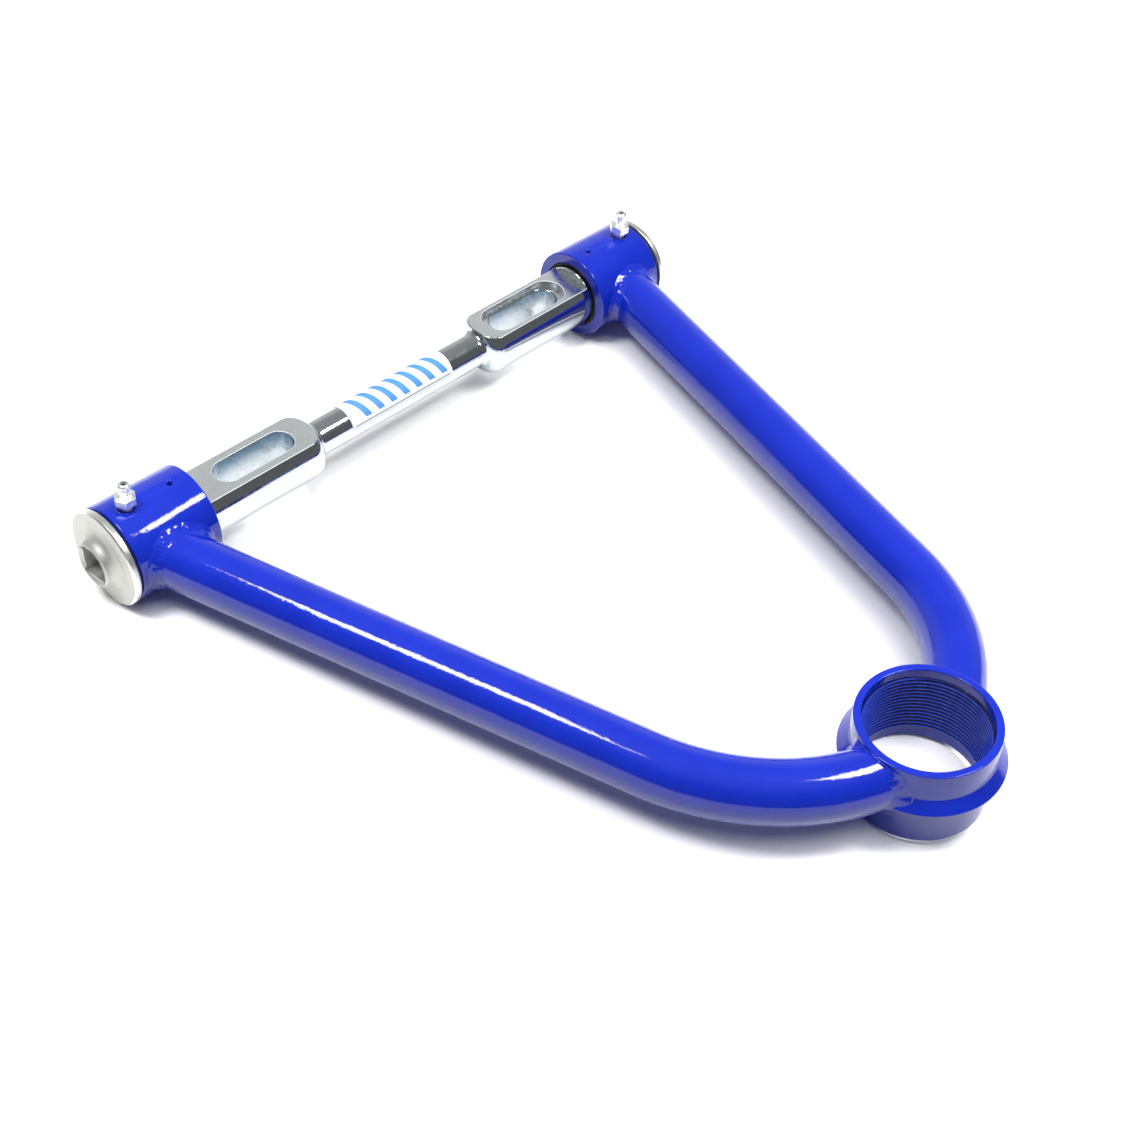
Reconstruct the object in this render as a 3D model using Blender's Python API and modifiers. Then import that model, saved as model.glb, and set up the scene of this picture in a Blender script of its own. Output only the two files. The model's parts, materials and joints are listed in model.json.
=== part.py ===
"""Tubular upper control arm of a race car: two bent tubes, a ball joint ring and a slotted cross shaft.

Frame: X runs from the cross shaft to the ball joint ring, Y along the cross shaft, Z up.
The arm lies on its two end caps and on the edge of its ring. The origin is the middle of the
bounding box at floor level. Dimensions below are millimetres; MM turns them into metres.
"""
import math

import bmesh
import bpy
from mathutils import Matrix, Vector

MM = 0.001
GAP = 0.3                     # clearance left between pieces that touch
SIDES = {"front": -1, "rear": 1}

# --- layout -------------------------------------------------------------------------------------
SHAFT_X = -159.9              # cross shaft axis, so that the bounding box is centred on X
CAP_RADIUS = 23.15
SHAFT_Z = CAP_RADIUS          # the end caps rest on the floor

# --- cross shaft: turned bar with flats, slots and thinner middle -----------------------------------
BAR_RADIUS = 15.875
MIDDLE_RADIUS = 8.75
SHAFT_END = 157.0
SHAFT_END_CHAMFER = 1.2
SHOULDER_OUT = 61.5           # where the full bar begins
SHOULDER_IN = 52.5            # where the middle begins to flare
SHOULDER_ROUND = 8.5
SHOULDER_FILLET = 3.0
FLAT_HEIGHT = 11.1            # half of the thickness across the flats
FLAT_END = 121.4              # wall where the flats stop, just inboard of the housing
SLOT_CENTRE = 86.8
SLOT_LENGTH = 43.4
SLOT_WIDTH = 14.3
POCKET_LENGTH = 51.7          # stepped recess around the rear slot, on its top side
POCKET_WIDTH = 18.1
POCKET_DEPTH = 3.1
SHAFT_SIDES = 40

# --- housings and what is inside them ---------------------------------------------------------------
HOUSING_RADIUS = 23.0
HOUSING_IN = 123.15
HOUSING_OUT = 165.7
HOUSING_EDGE = 0.6
LIP_RADIUS = 17.45
LIP_DEPTH = 3.4
BUSH_SEAT_RADIUS = 19.05
CAP_THREAD_RADIUS = 20.6
CAP_THREAD_IN = 159.4
BUSH_IN, BUSH_OUT = 127.0, 151.5
BUSH_BORE_RADIUS = 16.1
INNER_SEAL_IN, INNER_SEAL_OUT = 123.45, 126.3
WASHER_IN, WASHER_OUT = 157.3, 159.1
WASHER_BORE_RADIUS = 11.0
HOUSING_SIDES = 40

# --- end caps: flange, dished face, central boss with a square drive socket --------------------------
FLANGE_BACK = 167.0
FLANGE_FRONT = 170.3
FLANGE_CHAMFER = 0.6
BOSS_RADIUS = 9.9
BOSS_TOP = 176.3
FLARE_REACH = 5.4             # how far the dished face runs in before it turns up into the boss
CAP_INNER_FACE = 159.4
SOCKET_SIDE = 14.3
SOCKET_FLOOR = 166.5
SOCKET_TURN = 7.5             # degrees the drive square is turned from upright
SOCKET_LEAD_RADIUS = 9.3
SOCKET_LEAD_DEPTH = 1.2
OUTER_SEAL_RADIUS = 21.7      # middle of the seal's section
OUTER_SEAL_SECTION = 0.45

# --- grease fittings and vent holes ---------------------------------------------------------------
FITTING_Y = 156.0
VENT_Y = 133.1
VENT_RADIUS = 1.9
FITTING_HOLE_RADIUS = 3.4
FITTING_SHANK_RADIUS = 3.1
FITTING_SHANK = 5.6           # length below the hexagon
FITTING_STAND = 2.5           # the hexagon's underside above the housing
HEX_ACROSS_FLATS = 8.8
HEX_HEIGHT = 4.3
HEX_CHAMFER = 0.55
HEX_TURN = {"front": 0.0, "rear": 10.0}      # degrees each fitting has been screwed round
FITTING_HEIGHT = 11.3
FITTING_BORE_RADIUS = 1.5
BALL_RADIUS = 1.15
BALL_HEIGHT = 9.0             # ball centre above the hexagon's base
SPRING_BOTTOM, SPRING_TOP = 2.6, 7.8
SPRING_RADIUS = 0.95
SPRING_WIRE_RADIUS = 0.18
SPRING_TURNS = 4

# --- ball joint ring ---------------------------------------------------------------------------------
RING_X = 306.1                # from the shaft axis to the middle of the ring's top
RING_Y = 14.9
RING_LEAN = 4.5               # degrees, top towards the shaft
RING_ROLL = 1.7               # degrees, top towards the front
RING_HEIGHT = 41.3
COLLAR_RADIUS = 30.9
COLLAR_DEPTH = 14.0
RING_FLANGE_RADIUS = 35.4
RING_FLANGE_DEPTH = 19.0
LOWER_RADIUS = 30.2
RING_BORE_RADIUS = 27.45
THREAD_CREST_RADIUS = 26.5    # the threaded length is drawn plain, at the crests
THREAD_TOP, THREAD_BOTTOM = 4.6, 36.2
RING_SIDES = 40

# --- arm tubes: straight from the housing, then one bend into the ring ---------------------------------
TUBE_RADIUS = 13.9
TUBE_WALL = 3.0
TUBE_START_Z = 22.75          # height of both tubes over the cross shaft
TUBE_RISE = 0.015             # rise for each unit of X
TUBES = {
    "front": {"start_y": 152.2, "heading": 17.6, "straight": 247.3, "bend_radius": 108.0},
    "rear": {"start_y": 151.7, "heading": 13.6, "straight": 248.5, "bend_radius": 89.3},
}
BEND_ANGLE = 62.0             # degrees; both bends end inside the ring, which trims them
TUBE_RESOLUTION = 8           # bevel resolution: 20 sides
WELD_RADIUS = 2.6

# --- label round the middle of the shaft --------------------------------------------------------------
LABEL_HALF_LENGTH = 32.2
LABEL_CENTRE = -1.8           # the film was stuck on a little off the middle
LABEL_THICKNESS = 0.2
LABEL_FROM, LABEL_TO = -150.0, 80.0     # degrees from straight up, positive towards the ring


# ====================================================================================================
# Helpers
# ====================================================================================================
def start_scene():
    for old in list(bpy.data.objects):
        bpy.data.objects.remove(old, do_unlink=True)
    made = []
    for name in ("control_arm", "cutters"):
        collection = bpy.data.collections.new(name)
        bpy.context.scene.collection.children.link(collection)
        made.append(collection)
    return made


PARTS, CUTTERS = start_scene()


def make_material(name, colour, roughness, metallic):
    material = bpy.data.materials.new(name)
    material.use_nodes = True
    shader = material.node_tree.nodes["Principled BSDF"]
    shader.inputs["Base Color"].default_value = (*colour, 1.0)
    shader.inputs["Roughness"].default_value = roughness
    shader.inputs["Metallic"].default_value = metallic
    material.diffuse_color = (*colour, 1.0)
    return material


BLUE_PAINT = make_material("blue_paint", (0.020, 0.045, 0.62), 0.22, 0.0)
PLATED_STEEL = make_material("plated_steel", (0.72, 0.74, 0.75), 0.16, 1.0)
SATIN_NICKEL = make_material("satin_nickel", (0.62, 0.60, 0.55), 0.38, 1.0)
BLACK_RUBBER = make_material("black_rubber", (0.012, 0.012, 0.013), 0.65, 0.0)
BRONZE = make_material("bronze", (0.55, 0.36, 0.17), 0.40, 1.0)
FITTING_ZINC = make_material("fitting_zinc", (0.70, 0.72, 0.72), 0.25, 1.0)
SPRING_STEEL = make_material("spring_steel", (0.45, 0.46, 0.48), 0.30, 1.0)
LABEL_FILM = make_material("label_film", (0.85, 0.88, 0.92), 0.35, 0.0)


def add_object(name, mesh, material=None, location=(0, 0, 0), rotation=(0, 0, 0)):
    """A part in the parts collection, or a hidden cutter where there is no material."""
    piece = bpy.data.objects.new(name, mesh)
    piece.location = Vector(location) * MM
    piece.rotation_euler = rotation
    if material is None:
        CUTTERS.objects.link(piece)
        piece.hide_render = True
        piece.display_type = "WIRE"
    else:
        PARTS.objects.link(piece)
        if mesh.materials:
            mesh.materials[0] = material
        else:
            mesh.materials.append(material)
    return piece


def smooth(piece, angle=32.0):
    piece.data.shade_smooth()
    piece.data.set_sharp_from_angle(angle=math.radians(angle))
    return piece


def turned_mesh(name, profile, sides, closed=False):
    """A profile of (radius, height) pairs, turned round Z. It runs from the top down its outer side."""
    mesh = bpy.data.meshes.new(name)
    points = [(radius * MM, 0.0, height * MM) for radius, height in profile]
    edges = [(i, i + 1) for i in range(len(points) - 1)]
    if closed:
        edges.append((len(points) - 1, 0))
    mesh.from_pydata(points, edges, [])
    turner = bpy.data.objects.new(name + "_profile", mesh)
    CUTTERS.objects.link(turner)
    screw = turner.modifiers.new("Screw", "SCREW")
    screw.axis = "Z"
    screw.steps = sides
    screw.render_steps = sides
    screw.use_merge_vertices = True
    screw.merge_threshold = 0.00001
    bpy.context.view_layer.update()
    evaluated = turner.evaluated_get(bpy.context.evaluated_depsgraph_get())
    result = bpy.data.meshes.new_from_object(evaluated)
    result.name = name
    bpy.data.objects.remove(turner, do_unlink=True)
    bpy.data.meshes.remove(mesh)
    return result


def box_mesh(name, low, high):
    mesh = bpy.data.meshes.new(name)
    shape = bmesh.new()
    bmesh.ops.create_cube(shape, size=1.0)
    low, high = Vector(low) * MM, Vector(high) * MM
    size = high - low
    bmesh.ops.scale(shape, vec=size, verts=shape.verts)
    bmesh.ops.translate(shape, vec=(low + high) / 2, verts=shape.verts)
    shape.to_mesh(mesh)
    shape.free()
    return mesh


def prism_mesh(name, radius, bottom, top, sides, turn=0.0):
    mesh = bpy.data.meshes.new(name)
    shape = bmesh.new()
    place = Matrix.Translation((0, 0, (bottom + top) / 2 * MM)) @ Matrix.Rotation(math.radians(turn), 4, "Z")
    bmesh.ops.create_cone(shape, cap_ends=True, segments=sides, radius1=radius * MM, radius2=radius * MM,
                          depth=(top - bottom) * MM, matrix=place)
    shape.to_mesh(mesh)
    shape.free()
    return mesh


def slot_mesh(name, length, width, bottom, top, centre_y, sides=24):
    """An upright prism with round ends, long along Y."""
    radius, reach = width / 2, (length - width) / 2
    outline = []
    for end in (1, -1):
        for step in range(sides // 2 + 1):
            angle = math.pi * step / (sides // 2)
            outline.append((end * radius * math.cos(angle), end * (reach + radius * math.sin(angle))))
    mesh = bpy.data.meshes.new(name)
    shape = bmesh.new()
    floor = [shape.verts.new((x * MM, (centre_y + y) * MM, bottom * MM)) for x, y in outline]
    face = shape.faces.new(floor)
    raised = bmesh.ops.extrude_face_region(shape, geom=[face])
    moved = [item for item in raised["geom"] if isinstance(item, bmesh.types.BMVert)]
    bmesh.ops.translate(shape, vec=(0, 0, (top - bottom) * MM), verts=moved)
    bmesh.ops.recalc_face_normals(shape, faces=shape.faces)
    shape.to_mesh(mesh)
    shape.free()
    return mesh


def tube_mesh(name, points, radius, resolution, cyclic=False):
    """A round bar along a list of points, made as a bevelled curve and turned into a closed mesh."""
    curve = bpy.data.curves.new(name, "CURVE")
    curve.dimensions = "3D"
    curve.bevel_depth = radius * MM
    curve.bevel_resolution = resolution
    curve.use_fill_caps = not cyclic
    spline = curve.splines.new("POLY")
    spline.points.add(len(points) - 1)
    for point, place in zip(spline.points, points):
        point.co = (*(Vector(place) * MM), 1.0)
    spline.use_cyclic_u = cyclic
    holder = bpy.data.objects.new(name + "_curve", curve)
    CUTTERS.objects.link(holder)
    bpy.context.view_layer.update()
    evaluated = holder.evaluated_get(bpy.context.evaluated_depsgraph_get())
    mesh = bpy.data.meshes.new_from_object(evaluated)
    bpy.data.objects.remove(holder, do_unlink=True)
    shape = bmesh.new()
    shape.from_mesh(mesh)
    bmesh.ops.remove_doubles(shape, verts=shape.verts, dist=0.00001)
    bmesh.ops.recalc_face_normals(shape, faces=shape.faces)
    shape.to_mesh(mesh)
    shape.free()
    mesh.name = name
    return mesh


def boolean(piece, tool, operation="DIFFERENCE"):
    modifier = piece.modifiers.new(operation.title() + "_" + tool.name, "BOOLEAN")
    modifier.operation = operation
    modifier.solver = "EXACT"
    modifier.object = tool
    return modifier


def arc(centre, radius, first, last, steps):
    """Points (radius, height) on a circular arc, angles in degrees."""
    points = []
    for step in range(steps + 1):
        angle = math.radians(first + (last - first) * step / steps)
        points.append((centre[0] + radius * math.cos(angle), centre[1] + radius * math.sin(angle)))
    return points


def outward(side):
    """Turns local +Z to the outboard direction of a side: -Y in front, +Y behind."""
    return (math.radians(-90.0 * side), 0.0, 0.0)


ON_SHAFT = (SHAFT_X, 0.0, SHAFT_Z)


# ====================================================================================================
# Cross shaft
# ====================================================================================================
def shoulder_profile():
    """From the full bar down to the thin middle: a convex corner, a cone and a concave fillet."""
    convex = arc((BAR_RADIUS - SHOULDER_ROUND, SHOULDER_OUT), SHOULDER_ROUND, 0.0, -62.0, 5)
    concave = arc((MIDDLE_RADIUS + SHOULDER_FILLET, SHOULDER_IN - SHOULDER_FILLET / 2),
                  SHOULDER_FILLET, 128.0, 180.0, 3)
    return convex + concave


def half_shaft_profile():
    top = [(0.0, SHAFT_END), (BAR_RADIUS - SHAFT_END_CHAMFER, SHAFT_END),
           (BAR_RADIUS, SHAFT_END - SHAFT_END_CHAMFER), (BAR_RADIUS, FLAT_END)]
    return top + shoulder_profile()


def make_cross_shaft():
    upper = half_shaft_profile()
    lower = [(radius, -height) for radius, height in reversed(upper)]
    mesh = turned_mesh("cross_shaft", upper + lower, SHAFT_SIDES)
    shaft = add_object("cross_shaft", mesh, PLATED_STEEL, ON_SHAFT, outward(SIDES["front"]))
    smooth(shaft)
    for name, side in SIDES.items():
        low_y, high_y = sorted((side * 30.0, side * FLAT_END))
        for face, (low_z, high_z) in {"top": (FLAT_HEIGHT, 30.0), "bottom": (-30.0, -FLAT_HEIGHT)}.items():
            tool = box_mesh(f"{name}_{face}_flat_cut", (-30.0, low_y, low_z), (30.0, high_y, high_z))
            boolean(shaft, add_object(tool.name, tool, None, ON_SHAFT))
        tool = slot_mesh(f"{name}_slot_cut", SLOT_LENGTH, SLOT_WIDTH, -20.0, 20.0, side * SLOT_CENTRE)
        boolean(shaft, add_object(tool.name, tool, None, ON_SHAFT))
    pocket = slot_mesh("rear_pocket_cut", POCKET_LENGTH, POCKET_WIDTH, FLAT_HEIGHT - POCKET_DEPTH, 20.0,
                       SIDES["rear"] * SLOT_CENTRE)
    boolean(shaft, add_object(pocket.name, pocket, None, ON_SHAFT))
    return shaft


def make_label():
    """A thin film wrapped part of the way round the middle of the shaft."""
    inner = MIDDLE_RADIUS + GAP
    steps = 20
    mesh = bpy.data.meshes.new("shaft_label")
    shape = bmesh.new()
    rows = []
    for y in (LABEL_CENTRE - LABEL_HALF_LENGTH, LABEL_CENTRE + LABEL_HALF_LENGTH):
        row = []
        for step in range(steps + 1):
            angle = math.radians(LABEL_FROM + (LABEL_TO - LABEL_FROM) * step / steps)
            row.append(shape.verts.new((inner * math.sin(angle) * MM, y * MM, inner * math.cos(angle) * MM)))
        rows.append(row)
    for step in range(steps):
        shape.faces.new((rows[0][step], rows[0][step + 1], rows[1][step + 1], rows[1][step]))
    shape.to_mesh(mesh)
    shape.free()
    label = add_object("shaft_label", mesh, LABEL_FILM, ON_SHAFT)
    solidify = label.modifiers.new("Solidify", "SOLIDIFY")
    solidify.thickness = LABEL_THICKNESS * MM
    solidify.offset = 1.0
    smooth(label)
    return label


# ====================================================================================================
# Housings, caps, bushes, washers and seals: one set at each end of the shaft
# ====================================================================================================
def ring_piece(name, outer, inner, bottom, top, material, side):
    """A plain turned ring round the shaft axis, between two distances from the middle of the arm."""
    profile = [(outer, top), (outer, bottom), (inner, bottom), (inner, top)]
    mesh = turned_mesh(name, profile, HOUSING_SIDES, closed=True)
    return smooth(add_object(name, mesh, material, ON_SHAFT, outward(side)))


def make_housing(name, side):
    edge = HOUSING_EDGE
    profile = [
        (HOUSING_RADIUS - edge, HOUSING_OUT), (HOUSING_RADIUS, HOUSING_OUT - edge),
        (HOUSING_RADIUS, HOUSING_IN + edge), (HOUSING_RADIUS - edge, HOUSING_IN),
        (LIP_RADIUS, HOUSING_IN), (LIP_RADIUS, HOUSING_IN + LIP_DEPTH),
        (BUSH_SEAT_RADIUS, HOUSING_IN + LIP_DEPTH), (BUSH_SEAT_RADIUS, CAP_THREAD_IN - GAP),
        (CAP_THREAD_RADIUS, CAP_THREAD_IN - GAP), (CAP_THREAD_RADIUS, HOUSING_OUT),
    ]
    mesh = turned_mesh(f"{name}_housing", profile, HOUSING_SIDES, closed=True)
    housing = add_object(f"{name}_housing", mesh, BLUE_PAINT, ON_SHAFT, outward(side))
    for label, y, radius in (("fitting", FITTING_Y, FITTING_HOLE_RADIUS), ("vent", VENT_Y, VENT_RADIUS)):
        tool = prism_mesh(f"{name}_{label}_hole_cut", radius, 10.0, 40.0, 16)
        boolean(housing, add_object(tool.name, tool, None, (SHAFT_X, side * y, SHAFT_Z)))
    return smooth(housing)


def cap_profile():
    """Flange with a chamfered rim, a dished face that flares up into the boss, and a plug behind."""
    plug_radius = CAP_THREAD_RADIUS - GAP
    rise = BOSS_TOP - FLANGE_FRONT - 0.9
    turns = [math.radians(angle) for angle in (0.0, 20.0, 41.0, 62.0, 84.0)]
    flare = [(BOSS_RADIUS + 0.5 + FLARE_REACH * (1.0 - math.cos(turn)), BOSS_TOP - 0.9 - rise * math.sin(turn))
             for turn in turns]
    return [(0.0, BOSS_TOP), (BOSS_RADIUS - 0.4, BOSS_TOP), (BOSS_RADIUS, BOSS_TOP - 0.4)] + flare + [
        (CAP_RADIUS - FLANGE_CHAMFER, FLANGE_FRONT), (CAP_RADIUS, FLANGE_FRONT - FLANGE_CHAMFER),
        (CAP_RADIUS, FLANGE_BACK), (plug_radius, FLANGE_BACK), (plug_radius, CAP_INNER_FACE + 0.6),
        (plug_radius - 0.6, CAP_INNER_FACE), (0.0, CAP_INNER_FACE)]


def make_end_cap(name, side):
    mesh = turned_mesh(f"{name}_end_cap", cap_profile(), HOUSING_SIDES)
    cap = add_object(f"{name}_end_cap", mesh, SATIN_NICKEL, ON_SHAFT, outward(side))
    half_diagonal = SOCKET_SIDE / math.sqrt(2)
    square = prism_mesh(f"{name}_socket_cut", half_diagonal, SOCKET_FLOOR, BOSS_TOP + 2, 4, 45.0 - SOCKET_TURN)
    lead = turned_mesh(f"{name}_socket_lead_cut", [
        (0.0, BOSS_TOP + 1.0), (SOCKET_LEAD_RADIUS + 1.0, BOSS_TOP + 1.0),
        (SOCKET_LEAD_RADIUS - SOCKET_LEAD_DEPTH, BOSS_TOP - SOCKET_LEAD_DEPTH),
        (0.0, BOSS_TOP - SOCKET_LEAD_DEPTH)], 24)
    for tool in (square, lead):
        boolean(cap, add_object(tool.name, tool, None, ON_SHAFT, outward(side)))
    return smooth(cap)


def make_outer_seal(name, side):
    """Rubber ring squeezed under the cap's flange."""
    middle = (FLANGE_BACK + HOUSING_OUT) / 2
    section = arc((OUTER_SEAL_RADIUS, middle), OUTER_SEAL_SECTION, 90.0, -210.0, 5)
    mesh = turned_mesh(f"{name}_outer_seal", section, HOUSING_SIDES, closed=True)
    return smooth(add_object(f"{name}_outer_seal", mesh, BLACK_RUBBER, ON_SHAFT, outward(side)), 60.0)


def make_end_set(name, side):
    make_housing(name, side)
    make_end_cap(name, side)
    make_outer_seal(name, side)
    ring_piece(f"{name}_inner_seal", LIP_RADIUS - GAP, BUSH_BORE_RADIUS, INNER_SEAL_IN, INNER_SEAL_OUT,
               BLACK_RUBBER, side)
    ring_piece(f"{name}_bush", BUSH_SEAT_RADIUS - GAP, BUSH_BORE_RADIUS, BUSH_IN, BUSH_OUT, BRONZE, side)
    ring_piece(f"{name}_thrust_washer", BUSH_SEAT_RADIUS - GAP, WASHER_BORE_RADIUS, WASHER_IN, WASHER_OUT,
               BRONZE, side)


# ====================================================================================================
# Grease fittings with their check ball and spring
# ====================================================================================================
def fitting_profile():
    """Outside of the fitting: flat nose, ball head, groove, cone, hexagon's core and shank."""
    return [
        (0.0, FITTING_HEIGHT), (1.5, FITTING_HEIGHT), (2.35, FITTING_HEIGHT - 0.5),
        (2.75, FITTING_HEIGHT - 1.35), (2.7, FITTING_HEIGHT - 2.0), (2.2, FITTING_HEIGHT - 2.8),
        (2.25, FITTING_HEIGHT - 3.1), (2.85, FITTING_HEIGHT - 3.7), (3.7, HEX_HEIGHT),
        (3.7, 0.2), (FITTING_SHANK_RADIUS, 0.0), (FITTING_SHANK_RADIUS, 0.3 - FITTING_SHANK),
        (FITTING_SHANK_RADIUS - 0.3, -FITTING_SHANK), (0.0, -FITTING_SHANK)]


def fitting_bore_profile():
    """Inside of the fitting: narrow mouth, seat for the ball, straight bore and a smaller way out."""
    return [
        (0.0, FITTING_HEIGHT + 1.0), (0.75, FITTING_HEIGHT + 1.0), (0.75, FITTING_HEIGHT - 0.7),
        (FITTING_BORE_RADIUS, FITTING_HEIGHT - 1.5), (FITTING_BORE_RADIUS, SPRING_BOTTOM - GAP),
        (0.8, SPRING_BOTTOM - GAP), (0.8, -FITTING_SHANK - 1.0), (0.0, -FITTING_SHANK - 1.0)]


def make_fitting(name, side):
    base = (SHAFT_X, side * FITTING_Y, SHAFT_Z + HOUSING_RADIUS + FITTING_STAND)
    body_mesh = turned_mesh(f"{name}_grease_fitting", fitting_profile(), 24)
    body = add_object(f"{name}_grease_fitting", body_mesh, FITTING_ZINC, base)
    across_corners = HEX_ACROSS_FLATS / math.cos(math.pi / 6)
    hexagon = prism_mesh(f"{name}_hexagon_join", across_corners / 2, 0.0, HEX_HEIGHT, 6, HEX_TURN[name])
    crown = turned_mesh(f"{name}_hexagon_crown", [
        (0.0, HEX_HEIGHT + 1.0), (HEX_ACROSS_FLATS / 2 - 0.2, HEX_HEIGHT + 1.0),
        (HEX_ACROSS_FLATS / 2 - 0.2, HEX_HEIGHT), (across_corners / 2 + 0.1, HEX_HEIGHT - HEX_CHAMFER),
        (across_corners / 2 + 0.1, -1.0), (0.0, -1.0)], 24)
    bore = turned_mesh(f"{name}_fitting_bore_cut", fitting_bore_profile(), 12)
    hexagon_tool = add_object(hexagon.name, hexagon, None, base)
    boolean(hexagon_tool, add_object(crown.name, crown, None, base), "INTERSECT")
    boolean(body, hexagon_tool, "UNION")
    boolean(body, add_object(bore.name, bore, None, base))
    smooth(body)
    make_check_ball(name, base)
    make_check_spring(name, base)


def make_check_ball(name, base):
    mesh = bpy.data.meshes.new(f"{name}_check_ball")
    shape = bmesh.new()
    bmesh.ops.create_uvsphere(shape, u_segments=12, v_segments=8, radius=BALL_RADIUS * MM)
    shape.to_mesh(mesh)
    shape.free()
    centre = (base[0], base[1], base[2] + BALL_HEIGHT)
    return smooth(add_object(f"{name}_check_ball", mesh, SPRING_STEEL, centre), 60.0)


def make_check_spring(name, base):
    steps_per_turn = 8
    count = SPRING_TURNS * steps_per_turn
    rise = SPRING_TOP - SPRING_BOTTOM - 2 * SPRING_WIRE_RADIUS
    points = []
    for step in range(count + 1):
        angle = 2 * math.pi * step / steps_per_turn
        height = SPRING_BOTTOM + SPRING_WIRE_RADIUS + rise * step / count
        points.append((SPRING_RADIUS * math.cos(angle), SPRING_RADIUS * math.sin(angle), height))
    mesh = tube_mesh(f"{name}_check_spring", points, SPRING_WIRE_RADIUS, 1)
    return smooth(add_object(mesh.name, mesh, SPRING_STEEL, base), 70.0)


# ====================================================================================================
# Ball joint ring
# ====================================================================================================
def ring_rotation():
    return (math.radians(RING_ROLL), math.radians(-RING_LEAN), 0.0)


def ring_axis():
    lean, roll = math.radians(RING_LEAN), math.radians(RING_ROLL)
    return Vector((-math.sin(lean) * math.cos(roll), -math.sin(roll), math.cos(lean) * math.cos(roll)))


def ring_top():
    """Middle of the ring's top face. Its height puts the lowest edge of the ring on the floor."""
    axis = ring_axis()
    height = RING_HEIGHT * axis.z + LOWER_RADIUS * math.sqrt(1.0 - axis.z ** 2)
    return (SHAFT_X + RING_X, RING_Y, height)


def ring_outside(grow=0.0):
    """Outer side of the ring from the top down: collar, sloping shoulder, flange edge, lower body."""
    return [
        (COLLAR_RADIUS - 0.4 + grow, 0.0), (COLLAR_RADIUS + grow, -0.4),
        (COLLAR_RADIUS + grow, -COLLAR_DEPTH), (RING_FLANGE_RADIUS + grow, -RING_FLANGE_DEPTH + 0.3),
        (RING_FLANGE_RADIUS + grow, -RING_FLANGE_DEPTH - 0.5 - grow),
        (LOWER_RADIUS + grow, -RING_FLANGE_DEPTH - 0.9 - grow), (LOWER_RADIUS + grow, -RING_HEIGHT + 0.4),
        (LOWER_RADIUS - 0.4 + grow, -RING_HEIGHT)]


def ring_inside():
    """Bore from the bottom up: plain lead, the threaded length at its crests, counterbore at the top."""
    return [
        (RING_BORE_RADIUS, -RING_HEIGHT), (RING_BORE_RADIUS, -THREAD_BOTTOM),
        (THREAD_CREST_RADIUS, -THREAD_BOTTOM + 0.8), (THREAD_CREST_RADIUS, -THREAD_TOP - 0.4),
        (RING_BORE_RADIUS, -THREAD_TOP), (RING_BORE_RADIUS, 0.0)]


def make_ball_joint_ring():
    mesh = turned_mesh("ball_joint_ring", ring_outside() + ring_inside(), RING_SIDES, closed=True)
    return smooth(add_object("ball_joint_ring", mesh, BLUE_PAINT, ring_top(), ring_rotation()))


# ====================================================================================================
# Arm tubes and their welds
# ====================================================================================================
def tube_path(name, side, bend_steps=12):
    """Centre line of a tube: it starts on the shaft axis, runs straight and then bends inwards."""
    spec = TUBES[name]
    heading = math.radians(spec["heading"])
    straight, radius = spec["straight"], spec["bend_radius"]
    flat = [(0.0, spec["start_y"])]
    x, y = straight * math.cos(heading), spec["start_y"] - straight * math.sin(heading)
    for step in range(bend_steps + 1):
        angle = heading + math.radians(BEND_ANGLE) * step / bend_steps
        flat.append((x + radius * (math.sin(angle) - math.sin(heading)),
                     y - radius * (math.cos(heading) - math.cos(angle))))
    return [Vector((SHAFT_X + px, side * py, TUBE_START_Z + TUBE_RISE * px)) for px, py in flat]


def housing_cutter(name, side, radius):
    mesh = prism_mesh(f"{name}_cut", radius, HOUSING_IN - 15, HOUSING_OUT + 15, HOUSING_SIDES)
    return add_object(mesh.name, mesh, None, ON_SHAFT, outward(side))


def ring_cutter(name, grow):
    outside = ring_outside(grow)
    profile = [(0.0, 25.0), (outside[0][0] + 0.4, 25.0)] + outside[1:-1] + [
        (LOWER_RADIUS + grow, -RING_HEIGHT - 15.0), (0.0, -RING_HEIGHT - 15.0)]
    mesh = turned_mesh(f"{name}_cut", profile, RING_SIDES)
    return add_object(mesh.name, mesh, None, ring_top(), ring_rotation())


def make_arm_tube(name, side):
    path = tube_path(name, side)
    outer = tube_mesh(f"{name}_arm_tube", path, TUBE_RADIUS, TUBE_RESOLUTION)
    before = path[0] - (path[1] - path[0]).normalized() * 5
    after = path[-1] + (path[-1] - path[-2]).normalized() * 5
    inner = tube_mesh(f"{name}_tube_bore_cut", [before] + path + [after], TUBE_RADIUS - TUBE_WALL, 8)
    tube = add_object(f"{name}_arm_tube", outer, BLUE_PAINT)
    boolean(tube, add_object(inner.name, inner))
    boolean(tube, housing_cutter(f"{name}_tube_housing", side, HOUSING_RADIUS + GAP))
    boolean(tube, ring_cutter(f"{name}_tube_ring", GAP))
    return smooth(tube)


def path_frame(path, distance):
    """Point and direction at a distance along a path."""
    for start, end in zip(path, path[1:]):
        length = (end - start).length
        if distance <= length:
            break
        distance -= length
    direction = (end - start).normalized()
    return start + direction * distance, direction


def path_length(path):
    return sum((end - start).length for start, end in zip(path, path[1:]))


def seam_points(path, inside, from_end, count=28):
    """Where the tube's surface meets a body: for each direction round the tube, the first point outside.

    inside(point) says whether a point lies in the body. from_end walks from the far end of the path.
    """
    total = path_length(path)
    points = []
    for index in range(count):
        angle = 2 * math.pi * index / count

        def surface(distance):
            centre, direction = path_frame(path, total - distance if from_end else distance)
            across = direction.cross(Vector((0, 0, 1))).normalized()
            up = across.cross(direction)
            return centre + (across * math.cos(angle) + up * math.sin(angle)) * TUBE_RADIUS

        low, high = 0.0, 90.0
        for _ in range(30):
            middle = (low + high) / 2
            if inside(surface(middle)):
                low = middle
            else:
                high = middle
        points.append(surface(high))
    return points


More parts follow.
